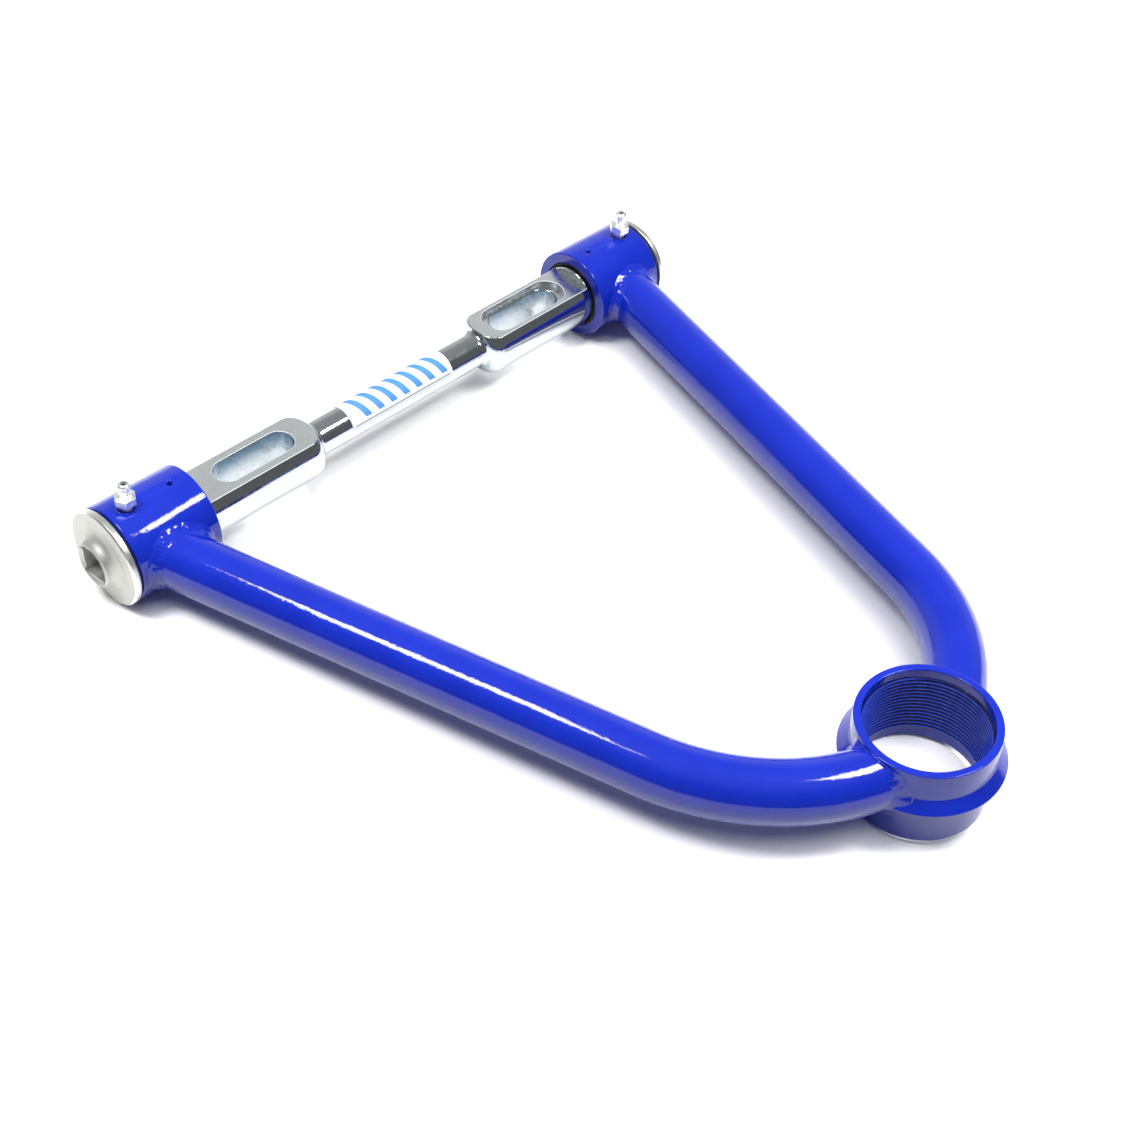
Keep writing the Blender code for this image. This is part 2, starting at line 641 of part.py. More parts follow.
def in_housing(point):
    return math.hypot(point.x - SHAFT_X, point.z - SHAFT_Z) < HOUSING_RADIUS


def ring_seam_radius(height):
    """Outer radius of the ring as the weld follows it: over the collar, across the flange, down the body."""
    collar, flange = -COLLAR_DEPTH + WELD_RADIUS, -RING_FLANGE_DEPTH
    under = flange - 2 * WELD_RADIUS
    if height > collar:
        return COLLAR_RADIUS
    if height > flange:
        return COLLAR_RADIUS + (RING_FLANGE_RADIUS - COLLAR_RADIUS) * (collar - height) / (collar - flange)
    if height > under:
        return RING_FLANGE_RADIUS + (LOWER_RADIUS - RING_FLANGE_RADIUS) * (flange - height) / (flange - under)
    return LOWER_RADIUS


def in_ring(point):
    offset = point - Vector(ring_top())
    height = offset.dot(ring_axis())
    return (offset - ring_axis() * height).length < ring_seam_radius(height)


def make_weld(name, side, path, inside, from_end, kind):
    points = seam_points(path, inside, from_end)
    mesh = tube_mesh(f"{name}_{kind}_weld", points, WELD_RADIUS, 2, cyclic=True)
    weld = add_object(mesh.name, mesh, BLUE_PAINT)
    tube = tube_mesh(f"{name}_{kind}_weld_tube_cut", path, TUBE_RADIUS + GAP, 10)
    boolean(weld, add_object(tube.name, tube))
    if kind == "housing":
        boolean(weld, housing_cutter(f"{name}_{kind}_weld", side, HOUSING_RADIUS + GAP))
    else:
        boolean(weld, ring_cutter(f"{name}_{kind}_weld", GAP))
    return smooth(weld, 50.0)


def make_arm(name, side):
    path = tube_path(name, side)
    make_arm_tube(name, side)
    make_weld(name, side, path, in_housing, False, "housing")
    make_weld(name, side, path, in_ring, True, "ring")


# ====================================================================================================
make_cross_shaft()
make_label()
make_ball_joint_ring()
for side_name, side_sign in SIDES.items():
    make_end_set(side_name, side_sign)
    make_fitting(side_name, side_sign)
    make_arm(side_name, side_sign)
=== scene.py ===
"""Looks of the tubular upper control arm: gloss blue arm, plated cross shaft, satin nickel end caps.

Lengths in this file are millimetres until a mesh is placed; MM turns them into metres.
X runs from the cross shaft to the ball joint ring, Y along the cross shaft, Z up.
"""
import json
import math

import bmesh
import bpy
from mathutils import Matrix, Vector, noise


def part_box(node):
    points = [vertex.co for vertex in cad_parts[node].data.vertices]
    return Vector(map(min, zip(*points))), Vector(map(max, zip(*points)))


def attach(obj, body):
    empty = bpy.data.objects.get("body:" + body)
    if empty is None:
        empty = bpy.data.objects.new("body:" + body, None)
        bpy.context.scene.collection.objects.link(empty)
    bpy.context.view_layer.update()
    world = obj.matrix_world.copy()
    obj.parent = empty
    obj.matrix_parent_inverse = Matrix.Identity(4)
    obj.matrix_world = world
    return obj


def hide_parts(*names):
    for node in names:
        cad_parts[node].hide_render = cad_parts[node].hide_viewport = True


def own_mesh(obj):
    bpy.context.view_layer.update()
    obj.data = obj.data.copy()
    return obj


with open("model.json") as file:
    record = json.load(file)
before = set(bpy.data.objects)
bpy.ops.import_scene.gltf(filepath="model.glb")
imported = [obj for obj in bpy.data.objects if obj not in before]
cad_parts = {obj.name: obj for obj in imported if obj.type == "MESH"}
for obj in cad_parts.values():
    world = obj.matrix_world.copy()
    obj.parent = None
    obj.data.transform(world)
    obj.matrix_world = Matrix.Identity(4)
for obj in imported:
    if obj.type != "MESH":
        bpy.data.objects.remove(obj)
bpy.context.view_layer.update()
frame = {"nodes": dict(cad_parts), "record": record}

MM = 0.001
SIDES = {"front": -1, "rear": 1}


# --- Sizes: what the frame says, then the details that it doesn't hold ---
def node_box(name):
    low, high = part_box(name)
    return low / MM, high / MM


def named(items, name):
    return next(item for item in items if item["name"] == name)


housing_low, housing_high = node_box("rear_housing")
cap_low, cap_high = node_box("rear_end_cap")
shaft_low, shaft_high = node_box("cross_shaft")
fitting_low, fitting_high = node_box("rear_grease_fitting")
inner_seal_low, inner_seal_high = node_box("rear_inner_seal")
outer_seal_low, outer_seal_high = node_box("rear_outer_seal")
label_low, label_high = node_box("shaft_label")
slot_low, slot_high = named(frame["record"]["physics"]["openings"], "rear_slot")["box_m"]
ring_seat = named(frame["record"]["mounts"], "ball_joint_seat")

SHAFT_X = (housing_low.x + housing_high.x) / 2
SHAFT_Z = (housing_low.z + housing_high.z) / 2
ON_SHAFT = (SHAFT_X, 0.0, SHAFT_Z)

BAR_RADIUS = (shaft_high.x - shaft_low.x) / 2
SHAFT_END = shaft_high.y
MIDDLE_RADIUS = 8.75
SHOULDER_OUT = 61.5
SHOULDER_IN = 52.5
SHOULDER_ROUND = 8.5
SHOULDER_FILLET = 3.0
FLAT_HEIGHT = 11.1
FLAT_END = 121.4
FLAT_ROUND = 0.24             # how softly the flats run into the round of the bar
SLOT_CENTRE = (slot_low[1] + slot_high[1]) / 2 / MM
SLOT_LENGTH = 43.4
SLOT_WIDTH = 14.3
SLOT_EDGE = 0.5
POCKET_LENGTH = 51.7
POCKET_WIDTH = 18.1
POCKET_DEPTH = 3.1
POCKET_EDGE = 0.55

HOUSING_RADIUS = (housing_high.x - housing_low.x) / 2
HOUSING_IN = housing_low.y
HOUSING_OUT = housing_high.y
LIP_RADIUS = 17.45
LIP_DEPTH = 3.4
BUSH_SEAT_RADIUS = 19.05
CAP_THREAD_RADIUS = 20.6
CAP_INNER_FACE = cap_low.y

CAP_RADIUS = (cap_high.x - cap_low.x) / 2
FLANGE_BACK = 167.0
FLANGE_FRONT = 170.3
BOSS_RADIUS = 10.15
BOSS_TOP = cap_high.y
FLARE_REACH = 5.4
SOCKET_SIDE = 14.3
SOCKET_FLOOR = 166.5
SOCKET_TURN = 7.5
SOCKET_LEAD_RADIUS = 9.75
CAP_CREASE = 24.0

FITTING_Y = (fitting_low.y + fitting_high.y) / 2
FITTING_BASE_Z = SHAFT_Z + HOUSING_RADIUS + 2.5
FITTING_HEIGHT = fitting_high.z - FITTING_BASE_Z
FITTING_SHANK = FITTING_BASE_Z - fitting_low.z
HEX_ACROSS_FLATS = 8.8
HEX_HEIGHT = 4.3
HEX_TURN = {"front": 0.0, "rear": 10.0}
FITTING_HOLE_RADIUS = 3.4
SPRING_WIRE_RADIUS = 0.18
SPRING_TURNS = 4
VENT_Y = 133.1
HOLE_RIM = 1.2                # rounding that the paint leaves on the rims of the holes
VENT_RADIUS = 1.15

RING_AXIS = Vector(ring_seat["axis"]).normalized()
RING_FORWARD = Vector((RING_AXIS.z, 0.0, -RING_AXIS.x)).normalized()
RING_TURN = Matrix((RING_FORWARD, RING_AXIS.cross(RING_FORWARD), RING_AXIS)).transposed()
SEAT_REACH = 29.0             # from the ring's axis to the seat mount's point
RING_TOP = Vector(ring_seat["pos_m"]) / MM - RING_FORWARD * SEAT_REACH
RING_HEIGHT = 41.3
COLLAR_RADIUS = 30.9
COLLAR_DEPTH = 14.0
RING_FLANGE_RADIUS = 35.4
RING_FLANGE_DEPTH = 19.0
LOWER_RADIUS = 30.2
RING_BORE_RADIUS = 27.45
THREAD_CREST_RADIUS = 26.5
THREAD_TOP, THREAD_BOTTOM = 4.6, 36.2
THREAD_PITCH = 2.12
THREAD_ROWS = 14              # rows of faces in one pitch

TUBE_RADIUS = 13.9
TUBE_WALL = 3.0
TUBE_START_Z = 22.75
TUBE_RISE = 0.015
TUBES = {
    "front": {"start_y": 152.2, "heading": 17.6, "straight": 247.3, "bend_radius": 108.0},
    "rear": {"start_y": 151.7, "heading": 13.6, "straight": 248.5, "bend_radius": 89.3},
}
BEND_ANGLE = 62.0
WELD_LEG = 4.4                # width of a weld on each of the two surfaces that it joins
WELD_PITCH = 3.0              # from one ripple of a weld to the next
RIM_CLEARANCE = 1.2           # bare strip between a ring weld and the rim of the ring
WELD_STEPS = 12               # faces across a weld
WELD_HOLLOW = 0.34            # how far a weld's face sags towards its root, as a share of its throat
WELD_SUNK = 0.20              # how deep the toes of a weld sit in the two surfaces
WELD_ROOT = 1.6               # how deep a weld goes on inside the two pieces

LABEL_HALF_LENGTH = (label_high.y - label_low.y) / 2
LABEL_CENTRE = (label_high.y + label_low.y) / 2
LABEL_FROM, LABEL_TO = -150.0, 80.0    # degrees round the shaft, from its top
LABEL_BANDS = 7
LABEL_BAND_STEP = 8.2
LABEL_CORNER = 1.5
LABEL_GAP = 0.06
LABEL_THICKNESS = 0.14

TURNED_SIDES = 180
CREASE = 33.0                 # degrees: edges sharper than this stay sharp in the shading

# The stage, in metres and degrees
FLOOR_TONE = 0.98
FLOOR_BOUNCE = 0.36           # what the floor gives back to the pieces, less than it shows
SOFT_BOXES = (                # name, centre, direction of the long side, length, width, power
    ("left_strip", (-0.257, -0.490, 1.0), 40.0, 0.40, 0.24, 8.2),
    ("right_strip", (0.354, 0.380, 1.0), 112.0, 0.39, 0.25, 8.5),
)
TOP_STRENGTH = 2.9
TOP_WIDTH = 56.0              # how wide the top light is in the sky
TOP_TILT = (1.0, 2.0, 0.0)
BACKDROP_TOWARDS = (-0.84, 0.54, 0.0)
BACKDROP_GLOW = 0.80
OVERHEAD_GLOW = 0.32
ROOM_GLOW = 0.17
FILL_SHARE = 0.35             # how much of the room's glow lights surfaces, against what they mirror
CAMERA_AT = (0.3290, -0.4579, 0.6034)
CAMERA_AIM = (-0.0411, -0.0022, 0.0)
CAMERA_LENS = 57.9
CAMERA_ROLL = 7.2


# --- Mesh helpers ---
def add_object(name, data):
    item = bpy.data.objects.new(name, data)
    bpy.context.scene.collection.objects.link(item)
    return item


def piece_from(name, shape, centre=(0, 0, 0), turn=None, angle=CREASE):
    """An object from a shape in millimetres, which is turned, moved to its centre and made metres."""
    bmesh.ops.recalc_face_normals(shape, faces=shape.faces)
    mesh = bpy.data.meshes.new(name)
    shape.to_mesh(mesh)
    shape.free()
    mesh.shade_smooth()
    mesh.set_sharp_from_angle(angle=math.radians(angle))
    turn = turn.to_4x4() if turn is not None else Matrix.Identity(4)
    mesh.transform(Matrix.Scale(MM, 4) @ Matrix.Translation(centre) @ turn)
    return add_object(name, mesh)


def outward(side):
    """Turns local +Z to the outboard direction of a side: -Y in front, +Y behind."""
    return Matrix.Rotation(math.radians(-90.0 * side), 3, "X")


def rounded(profile, closed):
    """A profile of (radius, height) or (radius, height, fillet) points, with its corners rounded."""
    points = [Vector(point[:2]) for point in profile]
    fillets = [point[2] if len(point) > 2 else 0.0 for point in profile]
    result = []
    for index, (corner, fillet) in enumerate(zip(points, fillets)):
        inner = closed or 0 < index < len(points) - 1
        if not fillet or not inner:
            result.append(tuple(corner))
            continue
        before = points[index - 1] - corner
        after = points[(index + 1) % len(points)] - corner
        half = before.angle(after) / 2
        reach = min(fillet / math.tan(half), 0.48 * before.length, 0.48 * after.length)
        radius = reach * math.tan(half)
        before.normalize()
        after.normalize()
        centre = corner + (before + after).normalized() * radius / math.sin(half)
        first = corner + before * reach - centre
        last = corner + after * reach - centre
        turn = first.angle_signed(last)
        steps = max(2, round(abs(math.degrees(turn)) / 15.0))
        for step in range(steps + 1):
            spoke = first.copy()
            spoke.rotate(Matrix.Rotation(-turn * step / steps, 2))
            result.append(tuple(centre + spoke))
    return result


def arc(centre, radius, first, last, steps):
    points = []
    for step in range(steps + 1):
        angle = math.radians(first + (last - first) * step / steps)
        points.append((centre[0] + radius * math.cos(angle), centre[1] + radius * math.sin(angle)))
    return points


def skin(shape, rows, ends="open", around=True):
    """Faces between rows of corners. The ends are open, capped, or joined to each other."""
    count = len(rows[0])
    for near, far in zip(rows, rows[1:] + rows[:1] if ends == "joined" else rows[1:]):
        for index in range(count if around else count - 1):
            following = (index + 1) % count
            corners = dict.fromkeys((near[index], near[following], far[following], far[index]))
            if len(corners) > 2:
                shape.faces.new(tuple(corners))
    if ends == "capped":
        shape.faces.new(rows[0])
        shape.faces.new(rows[-1])


def spokes(sides):
    return [2 * math.pi * side / sides for side in range(sides)]


def hoop(shape, radius, height, sides):
    """A ring of corners about Z. With no radius it is one corner, repeated."""
    if radius < 1e-6:
        return [shape.verts.new((0.0, 0.0, height))] * sides
    return [shape.verts.new((radius * math.cos(a), radius * math.sin(a), height)) for a in spokes(sides)]


def turned(name, profile, centre=ON_SHAFT, turn=None, sides=TURNED_SIDES, closed=False, angle=CREASE):
    """A profile turned round its own Z."""
    shape = bmesh.new()
    hoops = [hoop(shape, radius, height, sides) for radius, height in rounded(profile, closed)]
    skin(shape, hoops, "joined" if closed else "open")
    return piece_from(name, shape, centre, turn, angle)


def stadium(length, width, steps=24):
    """Outline of a slot with round ends, long along Y."""
    radius, reach = width / 2, (length - width) / 2
    outline = []
    for end in (1, -1):
        for step in range(steps + 1):
            angle = math.pi * step / steps
            outline.append((end * radius * math.cos(angle), end * (reach + radius * math.sin(angle))))
    return outline


def stacked(name, layers, centre, turn=None):
    """A closed solid through a stack of outlines: each layer is (outline, height), all the same length."""
    shape = bmesh.new()
    rows = [[shape.verts.new((x, y, height)) for x, y in outline] for outline, height in layers]
    skin(shape, rows, "capped")
    return piece_from(name, shape, centre, turn)


def slot_cutter(name, length, width, low, high, centre):
    """A slot cutter between two heights. A height given as (height, edge) rounds the edge that it leaves."""
    def opening_out(height, edge, upwards):
        turns = [math.radians(22.5 * step) for step in range(5)]
        layers = [(edge * (1 - math.cos(turn)), height + upwards * edge * (math.sin(turn) - 1))
                  for turn in turns]
        return layers + [(edge, height + upwards * 2.0)]

    layers = opening_out(*low, -1)[::-1] if isinstance(low, tuple) else [(0.0, low)]
    layers += opening_out(*high, 1)
    layers = [(stadium(length + 2 * grow, width + 2 * grow), height) for grow, height in layers]
    return stacked(name, layers, centre)


def prism(name, sides, across_flats, low, high, heading, centre, turn=None):
    radius = across_flats / 2 / math.cos(math.pi / sides)
    angles = [math.radians(heading) + angle for angle in spokes(sides)]
    outline = [(radius * math.sin(angle), radius * math.cos(angle)) for angle in angles]
    return stacked(name, [(outline, low), (outline, high)], centre, turn)


def bake(piece):
    """Makes the result of a piece's modifiers its mesh."""
    bpy.context.view_layer.update()
    evaluated = piece.evaluated_get(bpy.context.evaluated_depsgraph_get())
    piece.data = bpy.data.meshes.new_from_object(evaluated)
    piece.modifiers.clear()
    return piece


def apply_modifiers(piece, angle=CREASE):
    bake(piece)
    piece.data.shade_smooth()
    piece.data.set_sharp_from_angle(angle=math.radians(angle))
    return piece


def flatten_shading(piece):
    """Keeps large flat faces flat in the shading where they meet small rounded edges."""
    modifier = piece.modifiers.new("Normals", "WEIGHTED_NORMAL")
    modifier.mode = "FACE_AREA"
    modifier.weight = 100
    modifier.keep_sharp = True
    return bake(piece)


def combine(piece, tools, operation="DIFFERENCE", angle=CREASE):
    """Cuts the tools from a piece, or joins them to it, and removes them."""
    for tool in tools:
        modifier = piece.modifiers.new(tool.name, "BOOLEAN")
        modifier.operation = operation
        modifier.solver = "EXACT"
        modifier.object = tool
    apply_modifiers(piece, angle)
    for tool in tools:
        bpy.data.objects.remove(tool, do_unlink=True)
    return piece


# --- Materials ---
class Tree:
    """Short calls for building a node tree."""

    def __init__(self, tree):
        self.tree = tree

    def add(self, kind, **settings):
        node = self.tree.nodes.new(kind)
        for key, value in settings.items():
            setattr(node, key, value)
        return node

    def feed(self, socket, item):
        """Gives a socket a constant, or links an output to it."""
        if isinstance(item, bpy.types.NodeSocket):
            self.tree.links.new(item, socket)
        elif item is not None:
            socket.default_value = item

    def value(self, operation, *items):
        node = self.add("ShaderNodeMath", operation=operation)
        for socket, item in zip(node.inputs, items):
            self.feed(socket, item)
        return node.outputs[0]

    def vector(self, operation, *items):
        node = self.add("ShaderNodeVectorMath", operation=operation)
        for socket, item in zip(node.inputs, items):
            self.feed(socket, item)
        return node.outputs["Value" if operation in ("LENGTH", "DOT_PRODUCT") else "Vector"]

    def split(self, vector):
        node = self.add("ShaderNodeSeparateXYZ")
        self.feed(node.inputs[0], vector)
        return node.outputs

    def ramp(self, source, low, high, out_low=0.0, out_high=1.0, smooth=False):
        node = self.add("ShaderNodeMapRange", interpolation_type="SMOOTHSTEP" if smooth else "LINEAR")
        for socket, item in zip(("From Min", "From Max", "To Min", "To Max"), (low, high, out_low, out_high)):
            node.inputs[socket].default_value = item
        self.feed(node.inputs["Value"], source)
        return node.outputs[0]


class Nodes(Tree):
    """A node material round one Principled shader."""

    def __init__(self, name, **sockets):
        self.material = bpy.data.materials.new(name)
        self.material.use_nodes = True
        super().__init__(self.material.node_tree)
        self.shader = self.tree.nodes["Principled BSDF"]
        for socket, value in sockets.items():
            self.shader.inputs[socket.replace("_", " ")].default_value = value
        self.where = self.add("ShaderNodeTexCoord").outputs["Object"]

    def noise(self, scale, detail=2.0, roughness=0.5, where=None):
        node = self.add("ShaderNodeTexNoise")
        for socket, item in (("Scale", scale), ("Detail", detail), ("Roughness", roughness)):
            node.inputs[socket].default_value = item
        self.feed(node.inputs["Vector"], where or self.where)
        return node.outputs["Fac"]

    def cloud(self, scale, detail=2.0, roughness=0.5):
        """Noise spread over the whole way from 0 to 1."""
        return self.ramp(self.noise(scale, detail, roughness), 0.3, 0.7)

    def mix(self, factor, first, second):
        node = self.add("ShaderNodeMix", data_type="RGBA")
        self.feed(node.inputs["Factor"], factor)
        for name, item in (("A", first), ("B", second)):
            socket = next(i for i in node.inputs if i.name == name and i.type == "RGBA")
            self.feed(socket, (*item, 1.0) if isinstance(item, tuple) else item)
        return next(output for output in node.outputs if output.type == "RGBA")

    def bump(self, height, distance, strength=1.0, after=None):
        node = self.add("ShaderNodeBump")
        for socket, item in (("Distance", distance * MM), ("Strength", strength), ("Height", height),
                             ("Normal", after)):
            self.feed(node.inputs[socket], item)
        return node.outputs["Normal"]

    def colour(self, factor, first, second):
        self.feed(self.shader.inputs["Base Color"], self.mix(factor, first, second))

    def roughness(self, source, smoothest, roughest):
        """Roughness between two values, where the source is noise."""
        self.feed(self.shader.inputs["Roughness"], self.ramp(source, 0.3, 0.7, smoothest, roughest))

    def relief(self, height, distance, strength, after=None):
        self.feed(self.shader.inputs["Normal"], self.bump(height, distance, strength, after))

    def radius_about_shaft(self):
        x, _, z = self.split(self.where)
        off_x = self.value("SUBTRACT", x, SHAFT_X * MM)
        off_z = self.value("SUBTRACT", z, SHAFT_Z * MM)
        squared = self.value("MULTIPLY_ADD", off_x, off_x, self.value("MULTIPLY", off_z, off_z))
        return self.value("SQRT", squared)


def blue_paint():
    """Gloss blue over steel: slight orange peel and faint changes of thickness."""
    nodes = Nodes("gloss_blue_paint", Specular_IOR_Level=0.03, Coat_Weight=0.9, Coat_Roughness=0.035,
                  Coat_IOR=1.5)
    nodes.colour(nodes.cloud(38.0, 3.0), (0.0024, 0.0155, 0.340), (0.0042, 0.0205, 0.395))
    nodes.roughness(nodes.noise(240.0, 3.0), 0.40, 0.52)
    peel = nodes.noise(560.0, 3.0, 0.6)
    wave = nodes.noise(120.0, 2.0)
    nodes.feed(nodes.shader.inputs["Coat Normal"], nodes.bump(peel, 0.085, 0.5, nodes.bump(wave, 0.16, 0.5)))
    nodes.relief(wave, 0.10, 0.4)
    return nodes.material


def threaded_paint():
    """The blue paint inside the threaded bore, with painted shade: near black in the grooves, brighter along
    the crests.
    """
    nodes = Nodes("blue_paint_in_thread_painted_shade", Specular_IOR_Level=0.10, Coat_Weight=0.8, Coat_Roughness=0.10)
    offset = nodes.vector("SUBTRACT", nodes.where, tuple(RING_TOP * MM))
    reach = nodes.vector("LENGTH", nodes.vector("CROSS_PRODUCT", offset, tuple(RING_AXIS)))
    depth = nodes.ramp(reach, THREAD_CREST_RADIUS * MM, RING_BORE_RADIUS * MM)
    uneven = nodes.value("MULTIPLY_ADD", nodes.noise(260.0, 3.0), 0.30, nodes.value("ADD", depth, -0.15))
    # painted shade: towards the groove roots the colour goes near black, with a little noise
    groove = nodes.ramp(uneven, 0.15, 0.60, smooth=True)
    nodes.colour(groove, (0.020, 0.055, 0.52), (0.0012, 0.0035, 0.060))
    nodes.roughness(nodes.noise(300.0, 2.0), 0.40, 0.52)
    nodes.relief(nodes.noise(700.0, 2.0), 0.05, 0.4)
    return nodes.material


def plated_round():
    """Bright zinc on turned bar: a little uneven, with small stains."""
    nodes = Nodes("plated_turned_steel", Metallic=1.0)
    stain_and_reflection = nodes.ramp(nodes.noise(120.0, 5.0, 0.65), 0.35, 0.7)
    nodes.colour(stain_and_reflection, (0.515, 0.550, 0.570), (0.465, 0.505, 0.530))
    nodes.roughness(nodes.noise(420.0, 4.0, 0.7), 0.06, 0.16)
    nodes.relief(nodes.noise(160.0, 2.0), 0.05, 0.25, nodes.bump(nodes.noise(600.0, 1.0), 0.005, 0.5))
    return nodes.material


def plated_milled():
    """Zinc over a milled flat: more satin than the turned bar, faintly clouded, dull along its edges."""
    nodes = Nodes("plated_milled_steel", Metallic=1.0)
    tone = nodes.mix(nodes.cloud(70.0, 4.0, 0.6), (0.95, 0.99, 1.0), (0.90, 0.935, 0.935))
    speck = nodes.ramp(nodes.noise(900.0, 3.0, 0.7), 0.62, 0.80, 0.0, 0.35)
    nodes.colour(speck, tone, (0.55, 0.58, 0.60))
    satin = nodes.ramp(nodes.noise(420.0, 3.0), 0.3, 0.7, 0.22, 0.30)
    upright = nodes.value("ABSOLUTE", nodes.split(nodes.add("ShaderNodeTexCoord").outputs["Normal"])["Z"])
    worn_edge = nodes.ramp(upright, 0.965, 0.995, 0.45, 0.0)
    nodes.feed(nodes.shader.inputs["Roughness"], nodes.value("ADD", satin, worn_edge))
    nodes.relief(nodes.noise(420.0, 2.0), 0.006, 0.5)
    return nodes.material


def plated_slot():
    """Zinc on the walls of the slots, with a painted reflection: bluer and darker towards the top edge, paler
    lower down, a little uneven; with upright cutter marks.
    """
    nodes = Nodes("plated_slot_steel", Metallic=1.0)
    z = nodes.split(nodes.where)["Z"]
    height = nodes.ramp(z, (SHAFT_Z - 4.0) * MM, (SHAFT_Z + FLAT_HEIGHT - 1.0) * MM)
    # painted reflection: colour by height, from pale zinc low in the slot to dark blue at its top edge, plus
    # a little uneven noise
    stain_and_reflection = nodes.value("MULTIPLY_ADD", nodes.noise(90.0, 2.0), 0.3, nodes.value("ADD", height, -0.15))
    nodes.colour(nodes.ramp(stain_and_reflection, 0.0, 1.0, smooth=True), (0.66, 0.70, 0.72), (0.20, 0.31, 0.41))
    nodes.roughness(nodes.noise(300.0, 3.0), 0.20, 0.30)
    upright = nodes.add("ShaderNodeMapping")
    upright.inputs["Scale"].default_value = (1.0, 1.0, 0.06)
    nodes.feed(upright.inputs["Vector"], nodes.where)
    nodes.relief(nodes.noise(620.0, 2.0, where=upright.outputs["Vector"]), 0.05, 0.5)
    return nodes.material


def satin_nickel():
    """Nickel over a turned face: faint rings round the shaft axis and a faint warm cloud."""
    nodes = Nodes("satin_nickel", Metallic=1.0)
    rings = nodes.noise(1.0, 3.0, 0.7, nodes.value("MULTIPLY", nodes.radius_about_shaft(), 1400.0))
    nodes.colour(nodes.cloud(110.0, 3.0), (0.53, 0.53, 0.505), (0.49, 0.49, 0.465))
    nodes.roughness(nodes.noise(700.0, 3.0), 0.54, 0.64)
    nodes.relief(rings, 0.03, 0.4)
    return nodes.material


def bright_nickel():
    """The same nickel on the rim and the chamfers: smoother there, and painted lighter there as a painted
    highlight.
    """
    nodes = Nodes("bright_nickel", Metallic=1.0)
    # painted highlight: a lighter nickel colour than the face's, on the rim and chamfers
    nodes.colour(nodes.cloud(200.0, 3.0), (0.80, 0.81, 0.77), (0.72, 0.73, 0.69))
    nodes.roughness(nodes.noise(500.0, 3.0), 0.30, 0.40)
    nodes.relief(nodes.noise(500.0, 2.0), 0.01, 0.3)
    return nodes.material


def fitting_zinc():
    nodes = Nodes("fitting_zinc", Metallic=1.0)
    nodes.colour(nodes.cloud(600.0, 3.0), (0.94, 0.97, 0.96), (0.84, 0.87, 0.87))
    nodes.roughness(nodes.noise(500.0, 1.0), 0.34, 0.44)
    nodes.relief(nodes.noise(500.0, 1.0), 0.008, 0.4)
    return nodes.material


def black_rubber():
    nodes = Nodes("black_rubber", Specular_IOR_Level=0.4)
    dust = nodes.ramp(nodes.noise(900.0, 4.0, 0.7), 0.5, 0.8)
    nodes.colour(dust, (0.006, 0.006, 0.007), (0.028, 0.028, 0.030))
    nodes.roughness(nodes.noise(600.0, 2.0), 0.42, 0.60)
    nodes.relief(nodes.noise(2600.0, 3.0), 0.02, 0.5)
    return nodes.material


def bronze():
    nodes = Nodes("sintered_bronze", Metallic=1.0)
    pores = nodes.ramp(nodes.noise(2200.0, 3.0), 0.35, 0.65)
    nodes.colour(pores, (0.36, 0.21, 0.09), (0.58, 0.37, 0.17))
    nodes.roughness(nodes.noise(800.0, 3.0), 0.30, 0.46)
    nodes.relief(pores, 0.02, 0.5)
    return nodes.material


def spring_steel():
    nodes = Nodes("polished_spring_steel", Metallic=1.0)
    nodes.colour(nodes.cloud(1600.0, 2.0), (0.42, 0.43, 0.46), (0.52, 0.53, 0.54))
    nodes.roughness(nodes.noise(2400.0, 2.0), 0.10, 0.22)
    nodes.relief(nodes.noise(3000.0, 2.0), 0.01, 0.3)
    return nodes.material


def label_film():
    """White gloss film with slanting pale blue bands and a thin grey line along its edge."""
    nodes = Nodes("label_film", Specular_IOR_Level=0.25)
    x, y, z = nodes.split(nodes.where)
    off_x = nodes.value("SUBTRACT", x, SHAFT_X * MM)
    off_z = nodes.value("SUBTRACT", z, SHAFT_Z * MM)
    wrap = nodes.value("MULTIPLY", nodes.value("ARCTAN2", off_x, off_z), MIDDLE_RADIUS * MM)
    slanted = nodes.value("MULTIPLY_ADD", wrap, -0.35, y)

    def band(middle, half_width, coordinate=slanted, edge=0.12):
        distance = nodes.value("ABSOLUTE", nodes.value("SUBTRACT", coordinate, middle * MM))
        return nodes.ramp(distance, (half_width - edge) * MM, (half_width + edge) * MM, 1.0, 0.0)

    blue = 0.0
    for index in range(LABEL_BANDS):
        middle = LABEL_CENTRE + (index - (LABEL_BANDS - 1) / 2) * LABEL_BAND_STEP
        blue = nodes.value("MAXIMUM", blue, band(middle, 1.9))
    bands_end = nodes.ramp(wrap, 8.6 * MM, 8.9 * MM, 1.0, 0.0)
    blue = nodes.value("MULTIPLY", blue, bands_end)
    edge_line = nodes.value("MULTIPLY", band(10.6, 0.22, wrap, 0.06),
                            band(LABEL_CENTRE, LABEL_HALF_LENGTH - 1.6, y))
    paper = nodes.mix(nodes.cloud(260.0, 2.0), (0.80, 0.84, 0.88), (0.86, 0.89, 0.91))
    nodes.colour(edge_line, nodes.mix(blue, paper, (0.075, 0.24, 0.62)), (0.10, 0.13, 0.20))
    nodes.roughness(nodes.noise(500.0, 2.0), 0.48, 0.60)
    nodes.relief(nodes.noise(300.0, 2.0), 0.03, 0.3)
    return nodes.material


PAINT = blue_paint()
PLATED = plated_round()
THREAD_PAINT_WITH_SHADE = threaded_paint()
MILLED = plated_milled()
SLOT_WALL = plated_slot()
NICKEL = satin_nickel()
BRIGHT_NICKEL = bright_nickel()
ZINC = fitting_zinc()
RUBBER = black_rubber()
BRONZE = bronze()
SPRING_STEEL = spring_steel()
FILM = label_film()


